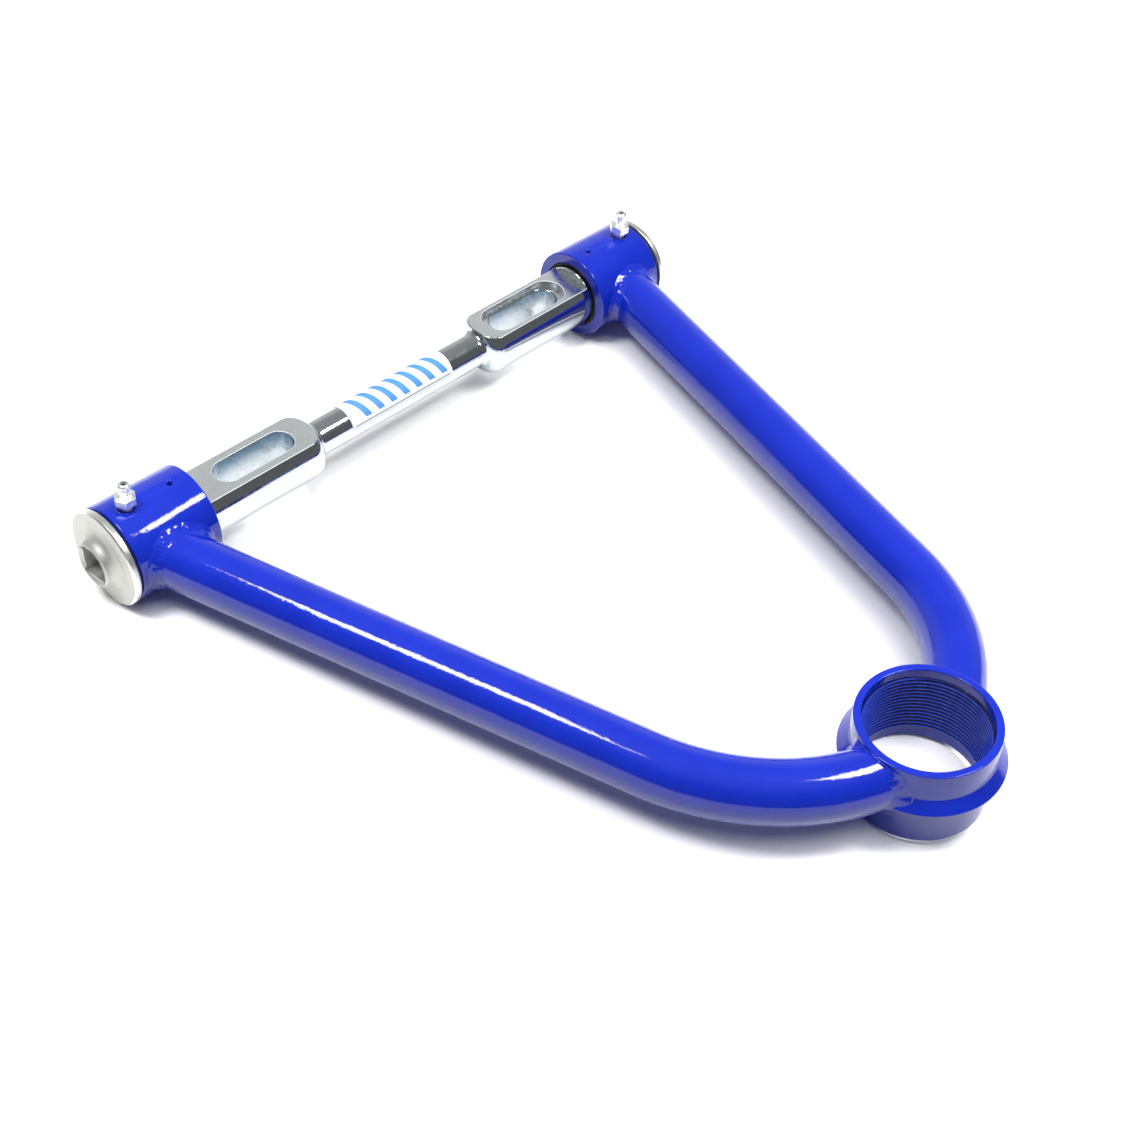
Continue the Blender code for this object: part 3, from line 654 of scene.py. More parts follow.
def finish_piece(piece, node, body, slot, *materials):
    """Gives a piece its materials and its CAD body, and hides the CAD node that it stands for. The slot is
    not used.
    """
    piece.data.materials.clear()
    for material in materials:
        piece.data.materials.append(material)
    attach(piece, body)
    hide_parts(node)
    return piece


def paint_faces(piece, index, wanted):
    """Gives the faces for which wanted(centre, normal) holds the material of that index. Centres in mm."""
    for face in piece.data.polygons:
        if wanted(face.center / MM, face.normal):
            face.material_index = index


# --- Cross shaft and label ---
def half_shaft_profile():
    """Radius of the turned bar from its end to the middle, as (radius, distance from the middle)."""
    chamfer = [(BAR_RADIUS - 1.2, SHAFT_END), (BAR_RADIUS - 0.08, SHAFT_END - 1.1),
               (BAR_RADIUS, SHAFT_END - 1.5)]
    convex = arc((BAR_RADIUS - SHOULDER_ROUND, SHOULDER_OUT), SHOULDER_ROUND, 0.0, -62.0, 26)
    concave = arc((MIDDLE_RADIUS + SHOULDER_FILLET, SHOULDER_IN - SHOULDER_FILLET / 2),
                  SHOULDER_FILLET, 128.0, 180.0, 9)
    return chamfer, convex + concave


def shaft_angles():
    """Directions round the bar, closer together where its flats end."""
    corner = math.degrees(math.acos(FLAT_HEIGHT / BAR_RADIUS))
    angles = {round(2.0 * step, 3) for step in range(180)}
    for middle in (corner, 180.0 - corner, 180.0 + corner, 360.0 - corner):
        angles.update(round(middle + 0.2 * step, 3) for step in range(-9, 10))
    return [math.radians(angle) for angle in sorted(angles)]


def soft_least(first, second, reach):
    """The smaller of two values, with a rounded change-over."""
    overlap = max(reach - abs(first - second), 0.0)
    return min(first, second) - overlap * overlap / (4.0 * reach)


def shaft_section(angles, radius, flats):
    """Radii of one cross-section: a circle, with or without the two flats. Angle 0 points up."""
    if not flats:
        return [radius for _ in angles]
    return [soft_least(radius, FLAT_HEIGHT / max(abs(math.cos(angle)), 1e-3), FLAT_ROUND) for angle in angles]


def shaft_stations(angles):
    """Cross-sections from one end of the shaft to the middle, as (distance, radii)."""
    ends, shoulder = half_shaft_profile()
    stations = [(y, shaft_section(angles, radius, False)) for radius, y in ends]
    flat = shaft_section(angles, BAR_RADIUS, True)
    for drop, distance in ((0.0, 0.75), (0.03, 0.55), (0.13, 0.32), (0.35, 0.1), (0.70, 0.0)):
        raised = [max(radius, BAR_RADIUS - drop) for radius in flat]
        stations.append((FLAT_END + distance, raised))
    stations.append((FLAT_END, flat))
    for radius, y in shoulder:
        stations.append((y, shaft_section(angles, radius, True)))
    return stations


def shaft_bar(name):
    angles = shaft_angles()
    half = shaft_stations(angles)
    stations = half + [(-y, radii) for y, radii in reversed(half)]
    shape = bmesh.new()
    rows = []
    for y, radii in stations:
        rows.append([shape.verts.new((radius * math.sin(angle), y, radius * math.cos(angle)))
                     for angle, radius in zip(angles, radii)])
    skin(shape, rows, "capped")
    bmesh.ops.remove_doubles(shape, verts=shape.verts, dist=0.0005)
    bmesh.ops.dissolve_degenerate(shape, edges=shape.edges, dist=0.0005)
    return piece_from(name, shape, ON_SHAFT)


def make_shaft():
    shaft = shaft_bar("cross_shaft_looks")
    tools = []
    floor = FLAT_HEIGHT - POCKET_DEPTH
    bottom = (-FLAT_HEIGHT, SLOT_EDGE)
    for side, top in ((SIDES["front"], FLAT_HEIGHT), (SIDES["rear"], floor)):
        middle = (SHAFT_X, side * SLOT_CENTRE, SHAFT_Z)
        tools.append(slot_cutter("slot_cut", SLOT_LENGTH, SLOT_WIDTH, bottom, (top, SLOT_EDGE), middle))
    edge = (FLAT_HEIGHT, POCKET_EDGE)
    tools.append(slot_cutter("pocket_cut", POCKET_LENGTH, POCKET_WIDTH, floor, edge, middle))
    combine(shaft, tools)
    finish_piece(shaft, "cross_shaft", "shaft", "plated_steel", PLATED, MILLED, SLOT_WALL)

    def milled(centre, normal):
        height = centre.z - SHAFT_Z
        flat = min(abs(height - level) for level in (FLAT_HEIGHT, -FLAT_HEIGHT, floor)) < 0.12
        edge = abs(abs(height) - FLAT_HEIGHT) < 0.5 and SHOULDER_OUT - 1.0 < abs(centre.y) < FLAT_END
        return flat and abs(normal.z) > 0.995 or edge and abs(normal.z) > 0.72

    def slot_wall(centre, normal):
        inside = abs(centre.x - SHAFT_X) < SLOT_WIDTH / 2 + 0.1
        return inside and abs(normal.z) < 0.3 and abs(abs(centre.y) - SLOT_CENTRE) < SLOT_LENGTH / 2 + 0.1

    paint_faces(shaft, 1, milled)
    # the slot walls get the zinc with a painted reflection
    paint_faces(shaft, 2, slot_wall)
    return flatten_shading(shaft)


def make_label():
    """A thin film with rounded corners, wrapped part of the way round the middle of the shaft."""
    inner = MIDDLE_RADIUS + LABEL_GAP
    corner = LABEL_CORNER
    length = math.radians(LABEL_TO - LABEL_FROM) * inner
    edge_rows = [corner * (1 - math.cos(math.pi / 2 * step / 8)) for step in range(9)]
    inner_rows = [corner + (length - 2 * corner) * step / 60 for step in range(1, 60)]
    rows = edge_rows + inner_rows + [length - distance for distance in reversed(edge_rows)]
    shape = bmesh.new()
    grid = []
    columns = 40
    for distance in rows:
        short = max(0.0, corner - min(distance, length - distance))
        half = LABEL_HALF_LENGTH - corner + math.sqrt(max(0.0, corner ** 2 - short ** 2))
        angle = math.radians(LABEL_FROM) + distance / inner
        x, z = inner * math.sin(angle), inner * math.cos(angle)
        grid.append([shape.verts.new((x, LABEL_CENTRE + half * (2 * column / columns - 1), z))
                     for column in range(columns + 1)])
    skin(shape, grid, around=False)
    label = piece_from("shaft_label_looks", shape, ON_SHAFT)
    solidify = label.modifiers.new("Thickness", "SOLIDIFY")
    solidify.thickness = LABEL_THICKNESS * MM
    outside = label.data.polygons[0]
    away = Vector((outside.center.x - SHAFT_X * MM, 0.0, outside.center.z - SHAFT_Z * MM))
    solidify.offset = 1.0 if outside.normal.dot(away) > 0 else -1.0
    apply_modifiers(label)
    return finish_piece(label, "shaft_label", "shaft", "label_film", FILM)


# --- Ends of the arm: housings, caps, seals and grease fittings ---
def make_housing(name, side):
    profile = [
        (HOUSING_RADIUS, HOUSING_OUT, 1.0), (HOUSING_RADIUS, HOUSING_IN, 0.8),
        (LIP_RADIUS, HOUSING_IN, 0.6), (LIP_RADIUS, HOUSING_IN + LIP_DEPTH, 0.2),
        (BUSH_SEAT_RADIUS, HOUSING_IN + LIP_DEPTH, 0.2), (BUSH_SEAT_RADIUS, CAP_INNER_FACE - 0.3, 0.2),
        (CAP_THREAD_RADIUS, CAP_INNER_FACE - 0.3, 0.2), (CAP_THREAD_RADIUS, HOUSING_OUT, 0.3)]
    housing = turned(f"{name}_housing_looks", profile, turn=outward(side), closed=True)
    tools = []
    top = HOUSING_RADIUS + 5.0
    for y, radius in ((FITTING_Y, FITTING_HOLE_RADIUS), (VENT_Y, VENT_RADIUS)):
        rim = arc((radius + HOLE_RIM, HOUSING_RADIUS - HOLE_RIM), HOLE_RIM, 84.0, 180.0, 8)
        hole = [(0.0, top), (radius + HOLE_RIM, top)] + rim + [(radius, 10.0), (0.0, 10.0)]
        tools.append(turned("hole_cut", hole, (SHAFT_X, side * y, SHAFT_Z), sides=48))
    combine(housing, tools)
    return finish_piece(housing, f"{name}_housing", "arm", "blue_paint", PAINT)


def cap_profile():
    plug = CAP_THREAD_RADIUS - 0.3
    drop = BOSS_TOP - FLANGE_FRONT - 0.9
    turns = [math.radians(86.0 * step / 22) for step in range(23)]
    flare = [(BOSS_RADIUS + 0.5 + FLARE_REACH * (1.0 - math.cos(turn)),
              BOSS_TOP - 0.9 - drop * math.sin(turn)) for turn in turns]
    top = [(0.0, BOSS_TOP), (BOSS_RADIUS - 0.3, BOSS_TOP, 0.2), (BOSS_RADIUS + 0.1, BOSS_TOP - 0.4)]
    thread = []
    for turn in range(2):
        height = FLANGE_BACK - 1.5 - 2.2 * turn
        thread += [(plug, height), (plug - 0.8, height - 1.1), (plug, height - 2.2)]
    return top + flare + [
        (CAP_RADIUS - 0.7, FLANGE_FRONT, 0.2), (CAP_RADIUS, FLANGE_FRONT - 0.7, 0.2),
        (CAP_RADIUS, FLANGE_BACK, 0.45), (plug, FLANGE_BACK)] + thread + [
        (plug, CAP_INNER_FACE, 0.6), (0.0, CAP_INNER_FACE)]


def make_end_cap(name, side):
    turn = outward(side)
    cap = turned(f"{name}_end_cap_looks", cap_profile(), turn=turn, angle=CAP_CREASE)
    drill = SOCKET_SIDE / 2 + 0.3
    drilled = [(0.0, BOSS_TOP + 1), (drill, BOSS_TOP + 1), (drill, SOCKET_FLOOR), (0.0, SOCKET_FLOOR - 2.5)]
    lead_in = [(0.0, BOSS_TOP + 1), (SOCKET_LEAD_RADIUS + 1.0, BOSS_TOP + 1),
               (SOCKET_LEAD_RADIUS - 1.2, BOSS_TOP - 1.2), (0.0, BOSS_TOP - 1.2)]
    heading = 45.0 - SOCKET_TURN
    tools = [prism("socket_cut", 4, SOCKET_SIDE, SOCKET_FLOOR, BOSS_TOP + 2, heading, ON_SHAFT, turn)]
    tools += [turned("socket_cut", profile, turn=turn, sides=96) for profile in (drilled, lead_in)]
    combine(cap, tools, angle=CAP_CREASE)
    finish_piece(cap, f"{name}_end_cap", "arm", "satin_nickel", NICKEL, BRIGHT_NICKEL)

    def bright(centre, _):
        radius = math.hypot(centre.x - SHAFT_X, centre.z - SHAFT_Z)
        return radius > CAP_RADIUS - 0.65 and abs(centre.y) > FLANGE_BACK

    # the rim and chamfers get the smoother nickel with its painted highlight
    paint_faces(cap, 1, bright)
    return cap


def make_seals(name, side):
    middle = (outer_seal_low.y + outer_seal_high.y) / 2
    section = (outer_seal_high.y - outer_seal_low.y) / 2
    radius = (outer_seal_high.x - outer_seal_low.x) / 2 - section
    cord = arc((radius, middle), section, 90.0, -258.0, 15)

    outside = (inner_seal_high.x - inner_seal_low.x) / 2
    inside = BAR_RADIUS + 0.2
    near, far = inner_seal_low.y, inner_seal_high.y
    lip = (inside + outside) / 2
    lipped = [(outside, far, 0.2), (outside, near, 0.3), (lip, near, 0.3), (lip - 0.25, near + 0.8, 0.2),
              (inside, near + 0.35, 0.12), (inside, far, 0.2)]
    for node, profile in ((f"{name}_outer_seal", cord), (f"{name}_inner_seal", lipped)):
        seal = turned(f"{node}_looks", profile, turn=outward(side), closed=True, angle=60.0)
        finish_piece(seal, node, "arm", "black_rubber", RUBBER)


def make_fitting(name, side):
    top = FITTING_HEIGHT
    base = (SHAFT_X, side * FITTING_Y, FITTING_BASE_Z)
    profile = [
        (0.0, top), (2.0, top, 0.35), (2.95, top - 0.95, 0.6), (2.95, top - 1.9, 0.5),
        (2.25, top - 2.75, 0.3), (2.2, top - 3.6, 0.4), (2.35, HEX_HEIGHT + 1.1, 0.4),
        (3.5, HEX_HEIGHT + 0.45, 0.3), (3.6, HEX_HEIGHT - 0.1), (3.6, -0.1), (3.1, -0.35, 0.2),
        (3.1, 0.3 - FITTING_SHANK), (2.8, -FITTING_SHANK), (0.0, -FITTING_SHANK)]
    fitting = turned(f"{name}_grease_fitting_looks", profile, base, sides=72)
    corner = HEX_ACROSS_FLATS / 2 / math.cos(math.pi / 6) + 0.05
    face = HEX_ACROSS_FLATS / 2 - 0.3
    crown = [(0.0, HEX_HEIGHT + 1), (face, HEX_HEIGHT + 1), (face, HEX_HEIGHT), (corner, HEX_HEIGHT - 0.55),
             (corner, 0.45), (face, 0.0), (face, -1.0), (0.0, -1.0)]
    hexagon = prism("hexagon", 6, HEX_ACROSS_FLATS, 0.0, HEX_HEIGHT, HEX_TURN[name], base)
    combine(hexagon, [turned("crown", crown, base, sides=72)], "INTERSECT")
    combine(fitting, [hexagon], "UNION")
    bore = [(0.0, top + 1), (1.5, top + 1), (1.05, top - 0.2), (1.0, top - 1.0), (1.5, top - 1.6), (1.5, 2.3),
            (0.8, 2.3), (0.8, -FITTING_SHANK - 1), (0.0, -FITTING_SHANK - 1)]
    combine(fitting, [turned("bore_cut", bore, base, sides=36)])
    return finish_piece(fitting, f"{name}_grease_fitting", "arm", "fitting_zinc", ZINC)


# --- Ball joint ring ---
def about_ring(point):
    """Distance of a point from the ring's axis, and its height along the axis from the ring's top."""
    offset = point - RING_TOP
    height = offset.dot(RING_AXIS)
    return (offset - RING_AXIS * height).length, height


def ring_outside(grow=0.0):
    """Profile of the ring from its top edge down its outside, larger by grow."""
    return [
        (COLLAR_RADIUS + grow, 0.0, 0.55), (COLLAR_RADIUS + grow, -COLLAR_DEPTH, 0.9),
        (RING_FLANGE_RADIUS + grow, -RING_FLANGE_DEPTH + 0.3, 0.4),
        (RING_FLANGE_RADIUS + grow, -RING_FLANGE_DEPTH - 0.7, 0.4),
        (LOWER_RADIUS + grow, -RING_FLANGE_DEPTH - 0.95, 0.5), (LOWER_RADIUS + grow, -RING_HEIGHT, 0.3)]


def thread_radius(height, angle):
    """Wall of the threaded bore: a helical groove between the lead at the bottom and the counterbore."""
    phase = (height / THREAD_PITCH + angle / (2 * math.pi)) % 1.0
    groove = 1.0 - abs(2.0 * phase - 1.0)
    groove = min(1.0, max(0.0, groove * 1.3 - 0.14))
    cut = THREAD_CREST_RADIUS + (RING_BORE_RADIUS - THREAD_CREST_RADIUS) * groove
    fade_top = min(1.0, max(0.0, (-height - THREAD_TOP) / 0.7))
    fade_bottom = min(1.0, max(0.0, (height + THREAD_BOTTOM) / 0.8))
    fade = min(fade_top, fade_bottom)
    return RING_BORE_RADIUS + (cut - RING_BORE_RADIUS) * fade


def make_ring():
    sides = TURNED_SIDES
    profile = [(RING_BORE_RADIUS, 0.0, 0.5)] + ring_outside() + [(RING_BORE_RADIUS, -RING_HEIGHT, 0.5)]
    outline = rounded(profile, closed=True)
    shape = bmesh.new()
    rows = [hoop(shape, radius, height, sides) for radius, height in outline]
    bottom, top = outline[-1][1], outline[0][1]
    steps = round((top - bottom) / THREAD_PITCH * THREAD_ROWS)
    for step in range(1, steps):
        height = bottom + (top - bottom) * step / steps
        row = []
        for angle in spokes(sides):
            radius = thread_radius(height, angle)
            row.append(shape.verts.new((radius * math.cos(angle), radius * math.sin(angle), height)))
        rows.append(row)
    skin(shape, rows, "joined")
    ring = piece_from("ball_joint_ring_looks", shape, RING_TOP, RING_TURN, 40.0)
    finish_piece(ring, "ball_joint_ring", "arm", "blue_paint", PAINT, THREAD_PAINT_WITH_SHADE)

    def in_thread(centre, _):
        radius, height = about_ring(centre)
        return radius < RING_BORE_RADIUS + 0.05 and -THREAD_BOTTOM < height < -THREAD_TOP

    # the threaded bore gets the blue paint with painted shade in its grooves
    paint_faces(ring, 1, in_thread)
    return ring


# --- Arm tubes ---
class TubePath:
    """Centre line of a tube: it starts on the shaft axis, runs straight and then bends inwards."""

    def __init__(self, name, side):
        spec = TUBES[name]
        self.side = side
        self.heading = math.radians(spec["heading"])
        self.start_y = spec["start_y"]
        self.straight = spec["straight"]
        self.bend_radius = spec["bend_radius"]
        self.length = self.straight + self.bend_radius * math.radians(BEND_ANGLE)

    def flat(self, distance):
        """Distance from the shaft axis, reach along Y, and heading, in the plane of the arm."""
        run = min(distance, self.straight)
        x = run * math.cos(self.heading)
        y = self.start_y - run * math.sin(self.heading)
        turn = max(0.0, distance - self.straight) / self.bend_radius
        x += self.bend_radius * (math.sin(self.heading + turn) - math.sin(self.heading))
        y -= self.bend_radius * (math.cos(self.heading) - math.cos(self.heading + turn))
        return x, y, self.heading + turn

    def frame(self, distance):
        """Point, direction, sideways and upward directions at a distance along the tube."""
        x, y, heading = self.flat(distance)
        point = Vector((SHAFT_X + x, self.side * y, TUBE_START_Z + TUBE_RISE * x))
        along = Vector((math.cos(heading), -self.side * math.sin(heading), TUBE_RISE * math.cos(heading)))
        along.normalize()
        across = along.cross(Vector((0, 0, 1))).normalized()
        return point, along, across, across.cross(along)

    def surface(self, distance, angle, radius=TUBE_RADIUS):
        point, _, across, up = self.frame(distance)
        return point + (across * math.cos(angle) + up * math.sin(angle)) * radius

    def nearest(self, point, guess):
        """Distance along the tube of the point of its centre line nearest to a point."""
        distance = guess
        for _ in range(12):
            centre, along, _, _ = self.frame(distance)
            distance = min(self.length, max(0.0, distance + (point - centre).dot(along)))
        return distance


def swept(name, path, radius, first, last, sides=96, stations=150):
    """A round bar of some radius along a path, from the first to the last distance along it."""
    shape = bmesh.new()
    rows = []
    for station in range(stations + 1):
        distance = first + (last - first) * station / stations
        rows.append([shape.verts.new(path.surface(distance, angle, radius)) for angle in spokes(sides)])
    skin(shape, rows, "capped")
    return piece_from(name, shape)


class CoilPath:
    """Centre line of a coil spring that stands on Z. Distance along it is counted in turns."""

    def __init__(self, foot, radius, pitch):
        self.foot = foot
        self.radius = radius
        self.pitch = pitch

    def surface(self, distance, angle, radius):
        turn = 2 * math.pi * distance
        outwards = Vector((math.cos(turn), math.sin(turn), 0.0))
        around = Vector((-math.sin(turn), math.cos(turn), self.pitch / (2 * math.pi * self.radius)))
        up = outwards.cross(around.normalized())
        point = self.foot + outwards * self.radius + Vector((0.0, 0.0, self.pitch * distance))
        return point + (outwards * math.cos(angle) + up * math.sin(angle)) * radius


def make_check_spring(name):
    """The spring behind a check ball."""
    node = f"{name}_check_spring"
    low, high = node_box(node)
    foot = Vector(((low.x + high.x) / 2, (low.y + high.y) / 2, low.z + SPRING_WIRE_RADIUS))
    pitch = (high.z - low.z - 2 * SPRING_WIRE_RADIUS) / SPRING_TURNS
    coil = CoilPath(foot, (high.x - low.x) / 2 - SPRING_WIRE_RADIUS, pitch)
    spring = swept(f"{node}_looks", coil, SPRING_WIRE_RADIUS, 0.0, SPRING_TURNS, 16, 36 * SPRING_TURNS)
    finish_piece(spring, node, "arm", "spring_steel", SPRING_STEEL)
    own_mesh(spring)
    return spring


def make_arm_tube(name, side):
    path = TubePath(name, side)
    tube = swept(f"{name}_arm_tube_looks", path, TUBE_RADIUS, 0.0, path.length)
    bore = swept("tube_bore", path, TUBE_RADIUS - TUBE_WALL, -4.0, path.length + 4.0)
    reach = HOUSING_RADIUS - 0.4
    near, far = HOUSING_IN - 15, HOUSING_OUT + 15
    housing = [(0.0, far), (reach, far), (reach, near), (0.0, near)]
    outside = [point[:2] for point in ring_outside(-0.4)]
    bottom = -RING_HEIGHT - 15
    ring = [(0.0, 30.0), (outside[0][0], 30.0)] + outside[1:-1] + [(outside[-1][0], bottom), (0.0, bottom)]
    combine(tube, [bore, turned("housing_cut", housing, turn=outward(side), sides=120),
                   turned("ring_cut", ring, RING_TOP, RING_TURN, sides=120)])
    return finish_piece(tube, f"{name}_arm_tube", "arm", "blue_paint", PAINT)


# --- Welds: a rippled fillet along each seam, closed behind inside the two pieces that it joins ---
def in_housing(point):
    """Distance outside the housing's round face, negative inside."""
    return math.hypot(point.x - SHAFT_X, point.z - SHAFT_Z) - HOUSING_RADIUS


def ring_seam_radius(height):
    """Outer radius of the ring as a weld follows it: over the collar, across the flange, down the body."""
    collar, flange = -COLLAR_DEPTH + 2.0, -RING_FLANGE_DEPTH
    under = flange - 6.0
    widest = RING_FLANGE_RADIUS - 1.2
    if height > flange:
        share = max(0.0, (collar - height) / (collar - flange))
        return COLLAR_RADIUS + (widest - COLLAR_RADIUS) * share * share * (3 - 2 * share)
    share = min(1.0, (flange - height) / (flange - under))
    return widest - (widest - LOWER_RADIUS) * share * share * (3 - 2 * share)


def in_ring(point):
    """Distance outside the ring's body, negative inside."""
    radius, height = about_ring(point)
    return radius - ring_seam_radius(height)


def slope(field, point):
    """Direction in which a distance field grows."""
    step = 0.05
    gradient = Vector([field(point + axis * step) - field(point - axis * step)
                       for axis in (Vector((1, 0, 0)), Vector((0, 1, 0)), Vector((0, 0, 1)))])
    return gradient.normalized()


def seam(path, field, from_end, count):
    """Where the tube's surface leaves a body, for each direction round the tube."""
    places = []
    for index in range(count):
        angle = 2 * math.pi * index / count
        low, high = 0.0, 90.0
        for _ in range(26):
            middle = (low + high) / 2
            distance = path.length - middle if from_end else middle
            if field(path.surface(distance, angle)) < 0.0:
                low = middle
            else:
                high = middle
        distance = path.length - high if from_end else high
        places.append((path.surface(distance, angle), distance))
    return places


def ripple(run, across, seed):
    """Height of the weld's surface: overlapping crescents, a little uneven. across goes from 0 to 1."""
    bow = 1.3 * (2.0 * across - 1.0) ** 2
    uneven = noise.noise(Vector((run * 0.12, seed, 0.0))) * 1.1
    phase = (run / WELD_PITCH + uneven - bow) % 1.0
    crest = 1.0 - (2.0 * phase - 1.0) ** 4
    lump = noise.noise(Vector((run * 0.30, across * 2.6, seed + 7.3)))
    crumb = noise.noise(Vector((run * 0.85, across * 6.0, seed + 2.1)))
    return 0.15 * crest + 0.36 * lump + 0.15 * crumb


def towards(direction, other):
    """The direction or its opposite, whichever points the way that other does."""
    return direction if direction.dot(other) > 0 else -direction


def weld_leg(point, along_body, kind, share_round, seed):
    """Width of the weld at one place of its seam, kept off the rim of the ring."""
    turn = share_round * 2 * math.pi
    wobble = noise.noise(Vector((math.cos(turn) * 1.9, math.sin(turn) * 1.9, seed)))
    leg = WELD_LEG * (1.0 + 0.18 * wobble)
    if kind == "ring":
        room = -(point - RING_TOP).dot(RING_AXIS) - RIM_CLEARANCE
        leg = min(leg, max(1.2, room / max(along_body.dot(RING_AXIS), 0.25)))
    return leg


def weld_section(path, field, kind, point, distance, run, share_round, seed):
    """One cross-section of a weld: its rippled face, then three corners inside the two pieces."""
    tube_normal = (point - path.frame(distance)[0]).normalized()
    body_normal = slope(field, point)
    tangent = tube_normal.cross(body_normal).normalized()
    up_tube = towards(tangent.cross(tube_normal), body_normal)
    along_body = towards(tangent.cross(body_normal), tube_normal)
    leg = weld_leg(point, along_body, kind, share_round, seed)
    tube_toe = point + up_tube * leg
    middle = path.frame(path.nearest(tube_toe, distance))[0]
    tube_toe = middle + (tube_toe - middle).normalized() * TUBE_RADIUS
    body_toe = point + along_body * leg
    for _ in range(3):
        body_toe -= slope(field, body_toe) * field(body_toe)
    outwards = (up_tube + along_body).normalized()
    hollow = (point - tube_toe.lerp(body_toe, 0.5)).length * WELD_HOLLOW
    joint_of_ends = abs(2.0 * share_round - 1.0) > 0.97
    section = []
    for step in range(WELD_STEPS + 1):
        share = step / WELD_STEPS
        crown = math.sin(math.pi * share)
        height = ripple(run, share, seed) * min(1.0, crown * 1.6) * (0.55 if joint_of_ends else 1.0)
        lift = height - hollow * crown - WELD_SUNK * (1.0 - crown)
        section.append(tube_toe.lerp(body_toe, share) + outwards * lift)
    section.append(body_toe - body_normal * WELD_ROOT)
    section.append(point - (tube_normal + body_normal).normalized() * 2 * WELD_ROOT)
    section.append(tube_toe - tube_normal * WELD_ROOT)
    return section


def make_weld(name, side, kind, seed):
    path = TubePath(name, side)
    field, from_end = (in_housing, False) if kind == "housing" else (in_ring, True)
    places = seam(path, field, from_end, 240)
    count = len(places)
    lengths = [(places[index][0] - places[index - 1][0]).length for index in range(count)]
    stretch = round(sum(lengths) / WELD_PITCH) * WELD_PITCH / sum(lengths)
    shape = bmesh.new()
    rows = []
    run = 0.0
    for index, (point, distance) in enumerate(places):
        if index:
            run += lengths[index] * stretch
        section = weld_section(path, field, kind, point, distance, run, index / count, seed)
        rows.append([shape.verts.new(corner) for corner in section])
    skin(shape, rows, "joined")
    node = f"{name}_{kind}_weld"
    return finish_piece(piece_from(f"{node}_looks", shape, angle=70.0), node, "arm", "blue_paint", PAINT)


# --- CAD nodes that stay, with a better material ---
def dress_inner_pieces():
    for name in SIDES:
        for node, material in (("bush", BRONZE), ("thrust_washer", BRONZE), ("check_ball", SPRING_STEEL)):
            piece = frame["nodes"][f"{name}_{node}"]
            piece.data.materials.clear()
            piece.data.materials.append(material)
            piece.data.shade_smooth()
            piece.data.set_sharp_from_angle(angle=math.radians(50.0))


# --- Stage: floor, light and camera ---
def make_floor():
    """A plain pale floor. It gives less light back to the pieces than it shows to the camera."""
    shape = bmesh.new()
    bmesh.ops.create_grid(shape, x_segments=1, y_segments=1, size=12.0)
    mesh = bpy.data.meshes.new("floor")
    shape.to_mesh(mesh)
    shape.free()
    floor = add_object("floor", mesh)
    floor.location = (0.0, 0.0, -0.0001)
    nodes = Nodes("floor", Roughness=0.9, Specular_IOR_Level=0.1)
    bounce = nodes.add("ShaderNodeLightPath").outputs["Is Diffuse Ray"]
    tone = nodes.ramp(bounce, 0.0, 1.0, FLOOR_TONE, FLOOR_BOUNCE)
    nodes.feed(nodes.shader.inputs["Base Color"], tone)
    mesh.materials.append(nodes.material)


def make_lights():
    """Two soft boxes one metre up, which draw the bright lines along the tubes, and a wide soft top light."""
    for name, centre, heading, length, width, power in SOFT_BOXES:
        data = bpy.data.lights.new(name, "AREA")
        data.shape = "RECTANGLE"
        data.size = length
        data.size_y = width
        data.energy = power
        lamp = add_object(name, data)
        lamp.location = centre
        lamp.rotation_euler = (0.0, 0.0, math.radians(heading))
    data = bpy.data.lights.new("soft_top", "SUN")
    data.energy = TOP_STRENGTH
    data.angle = math.radians(TOP_WIDTH)
    lamp = add_object("soft_top", data)
    lamp.rotation_euler = [math.radians(angle) for angle in TOP_TILT]
    lamp.visible_glossy = False


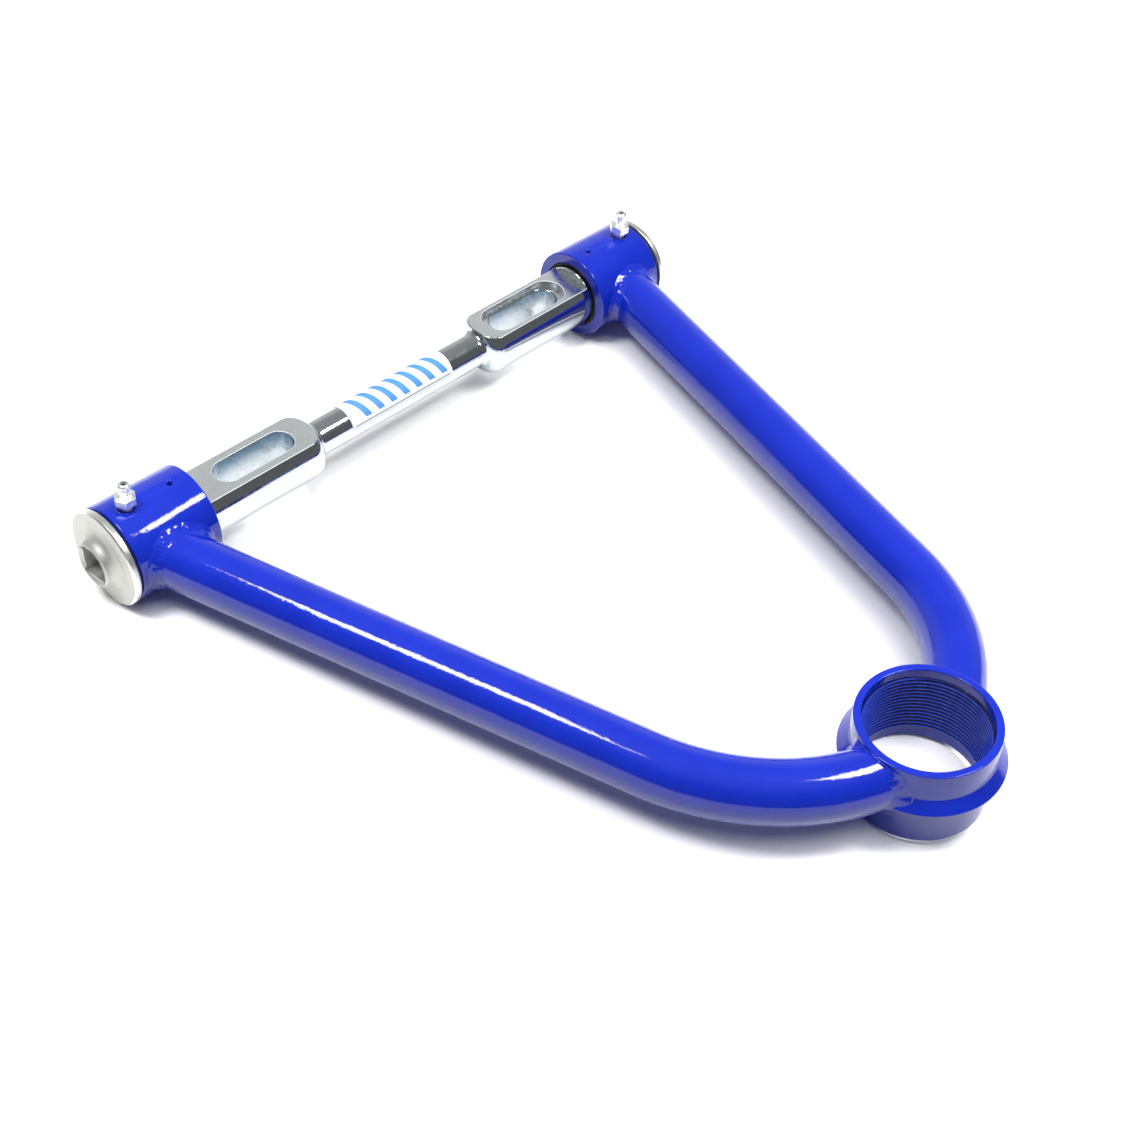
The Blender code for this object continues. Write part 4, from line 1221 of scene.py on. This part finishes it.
def make_world():
    """A studio: bright backdrop behind the arm, darker room on the other sides, pale overhead."""
    world = bpy.data.worlds.new("studio")
    bpy.context.scene.world = world
    world.use_nodes = True
    world.node_tree.nodes.clear()
    nodes = Tree(world.node_tree)
    direction = nodes.add("ShaderNodeTexCoord").outputs["Generated"]
    height = nodes.split(direction)["Z"]
    facing = nodes.vector("DOT_PRODUCT", direction, BACKDROP_TOWARDS)
    sideways = nodes.ramp(facing, 0.05, 0.75, smooth=True)
    lower = nodes.ramp(height, 0.34, 0.92, 1.0, 0.0)
    backdrop = nodes.value("MULTIPLY", nodes.value("MULTIPLY", sideways, lower), BACKDROP_GLOW - ROOM_GLOW)
    overhead = nodes.ramp(height, 0.60, 1.0, 0.0, OVERHEAD_GLOW, smooth=True)
    glow = nodes.value("ADD", nodes.value("ADD", backdrop, overhead), ROOM_GLOW)
    ray = nodes.add("ShaderNodeLightPath").outputs
    filling = nodes.ramp(ray["Is Diffuse Ray"], 0.0, 1.0, 1.0, FILL_SHARE)
    strength = nodes.add("ShaderNodeMix", data_type="FLOAT")
    nodes.feed(strength.inputs["Factor"], ray["Is Camera Ray"])
    nodes.feed(strength.inputs["A"], nodes.value("MULTIPLY", glow, filling))
    strength.inputs["B"].default_value = 1.0
    background = nodes.add("ShaderNodeBackground")
    background.inputs["Color"].default_value = (0.97, 0.985, 1.0, 1.0)
    nodes.feed(background.inputs["Strength"], strength.outputs["Result"])
    nodes.feed(nodes.add("ShaderNodeOutputWorld").inputs["Surface"], background.outputs[0])


def make_camera():
    data = bpy.data.cameras.new("camera")
    data.sensor_width = 36.0
    data.lens = CAMERA_LENS
    data.clip_start = 0.01
    data.clip_end = 50.0
    camera = add_object("camera", data)
    aim = (Vector(CAMERA_AIM) - Vector(CAMERA_AT)).to_track_quat("-Z", "Y")
    roll = Matrix.Rotation(math.radians(CAMERA_ROLL), 3, "Z")
    camera.matrix_world = Matrix.Translation(CAMERA_AT) @ (aim.to_matrix() @ roll).to_4x4()
    bpy.context.scene.camera = camera


make_floor()
make_lights()
make_world()
make_camera()
bpy.context.scene.view_settings.view_transform = "Standard"

make_shaft()
make_label()
make_ring()
dress_inner_pieces()
for number, (side_name, side_sign) in enumerate(SIDES.items()):
    make_housing(side_name, side_sign)
    make_end_cap(side_name, side_sign)
    make_seals(side_name, side_sign)
    make_fitting(side_name, side_sign)
    make_check_spring(side_name)
    make_arm_tube(side_name, side_sign)
    make_weld(side_name, side_sign, "housing", 3.0 + number)
    make_weld(side_name, side_sign, "ring", 11.0 + number)
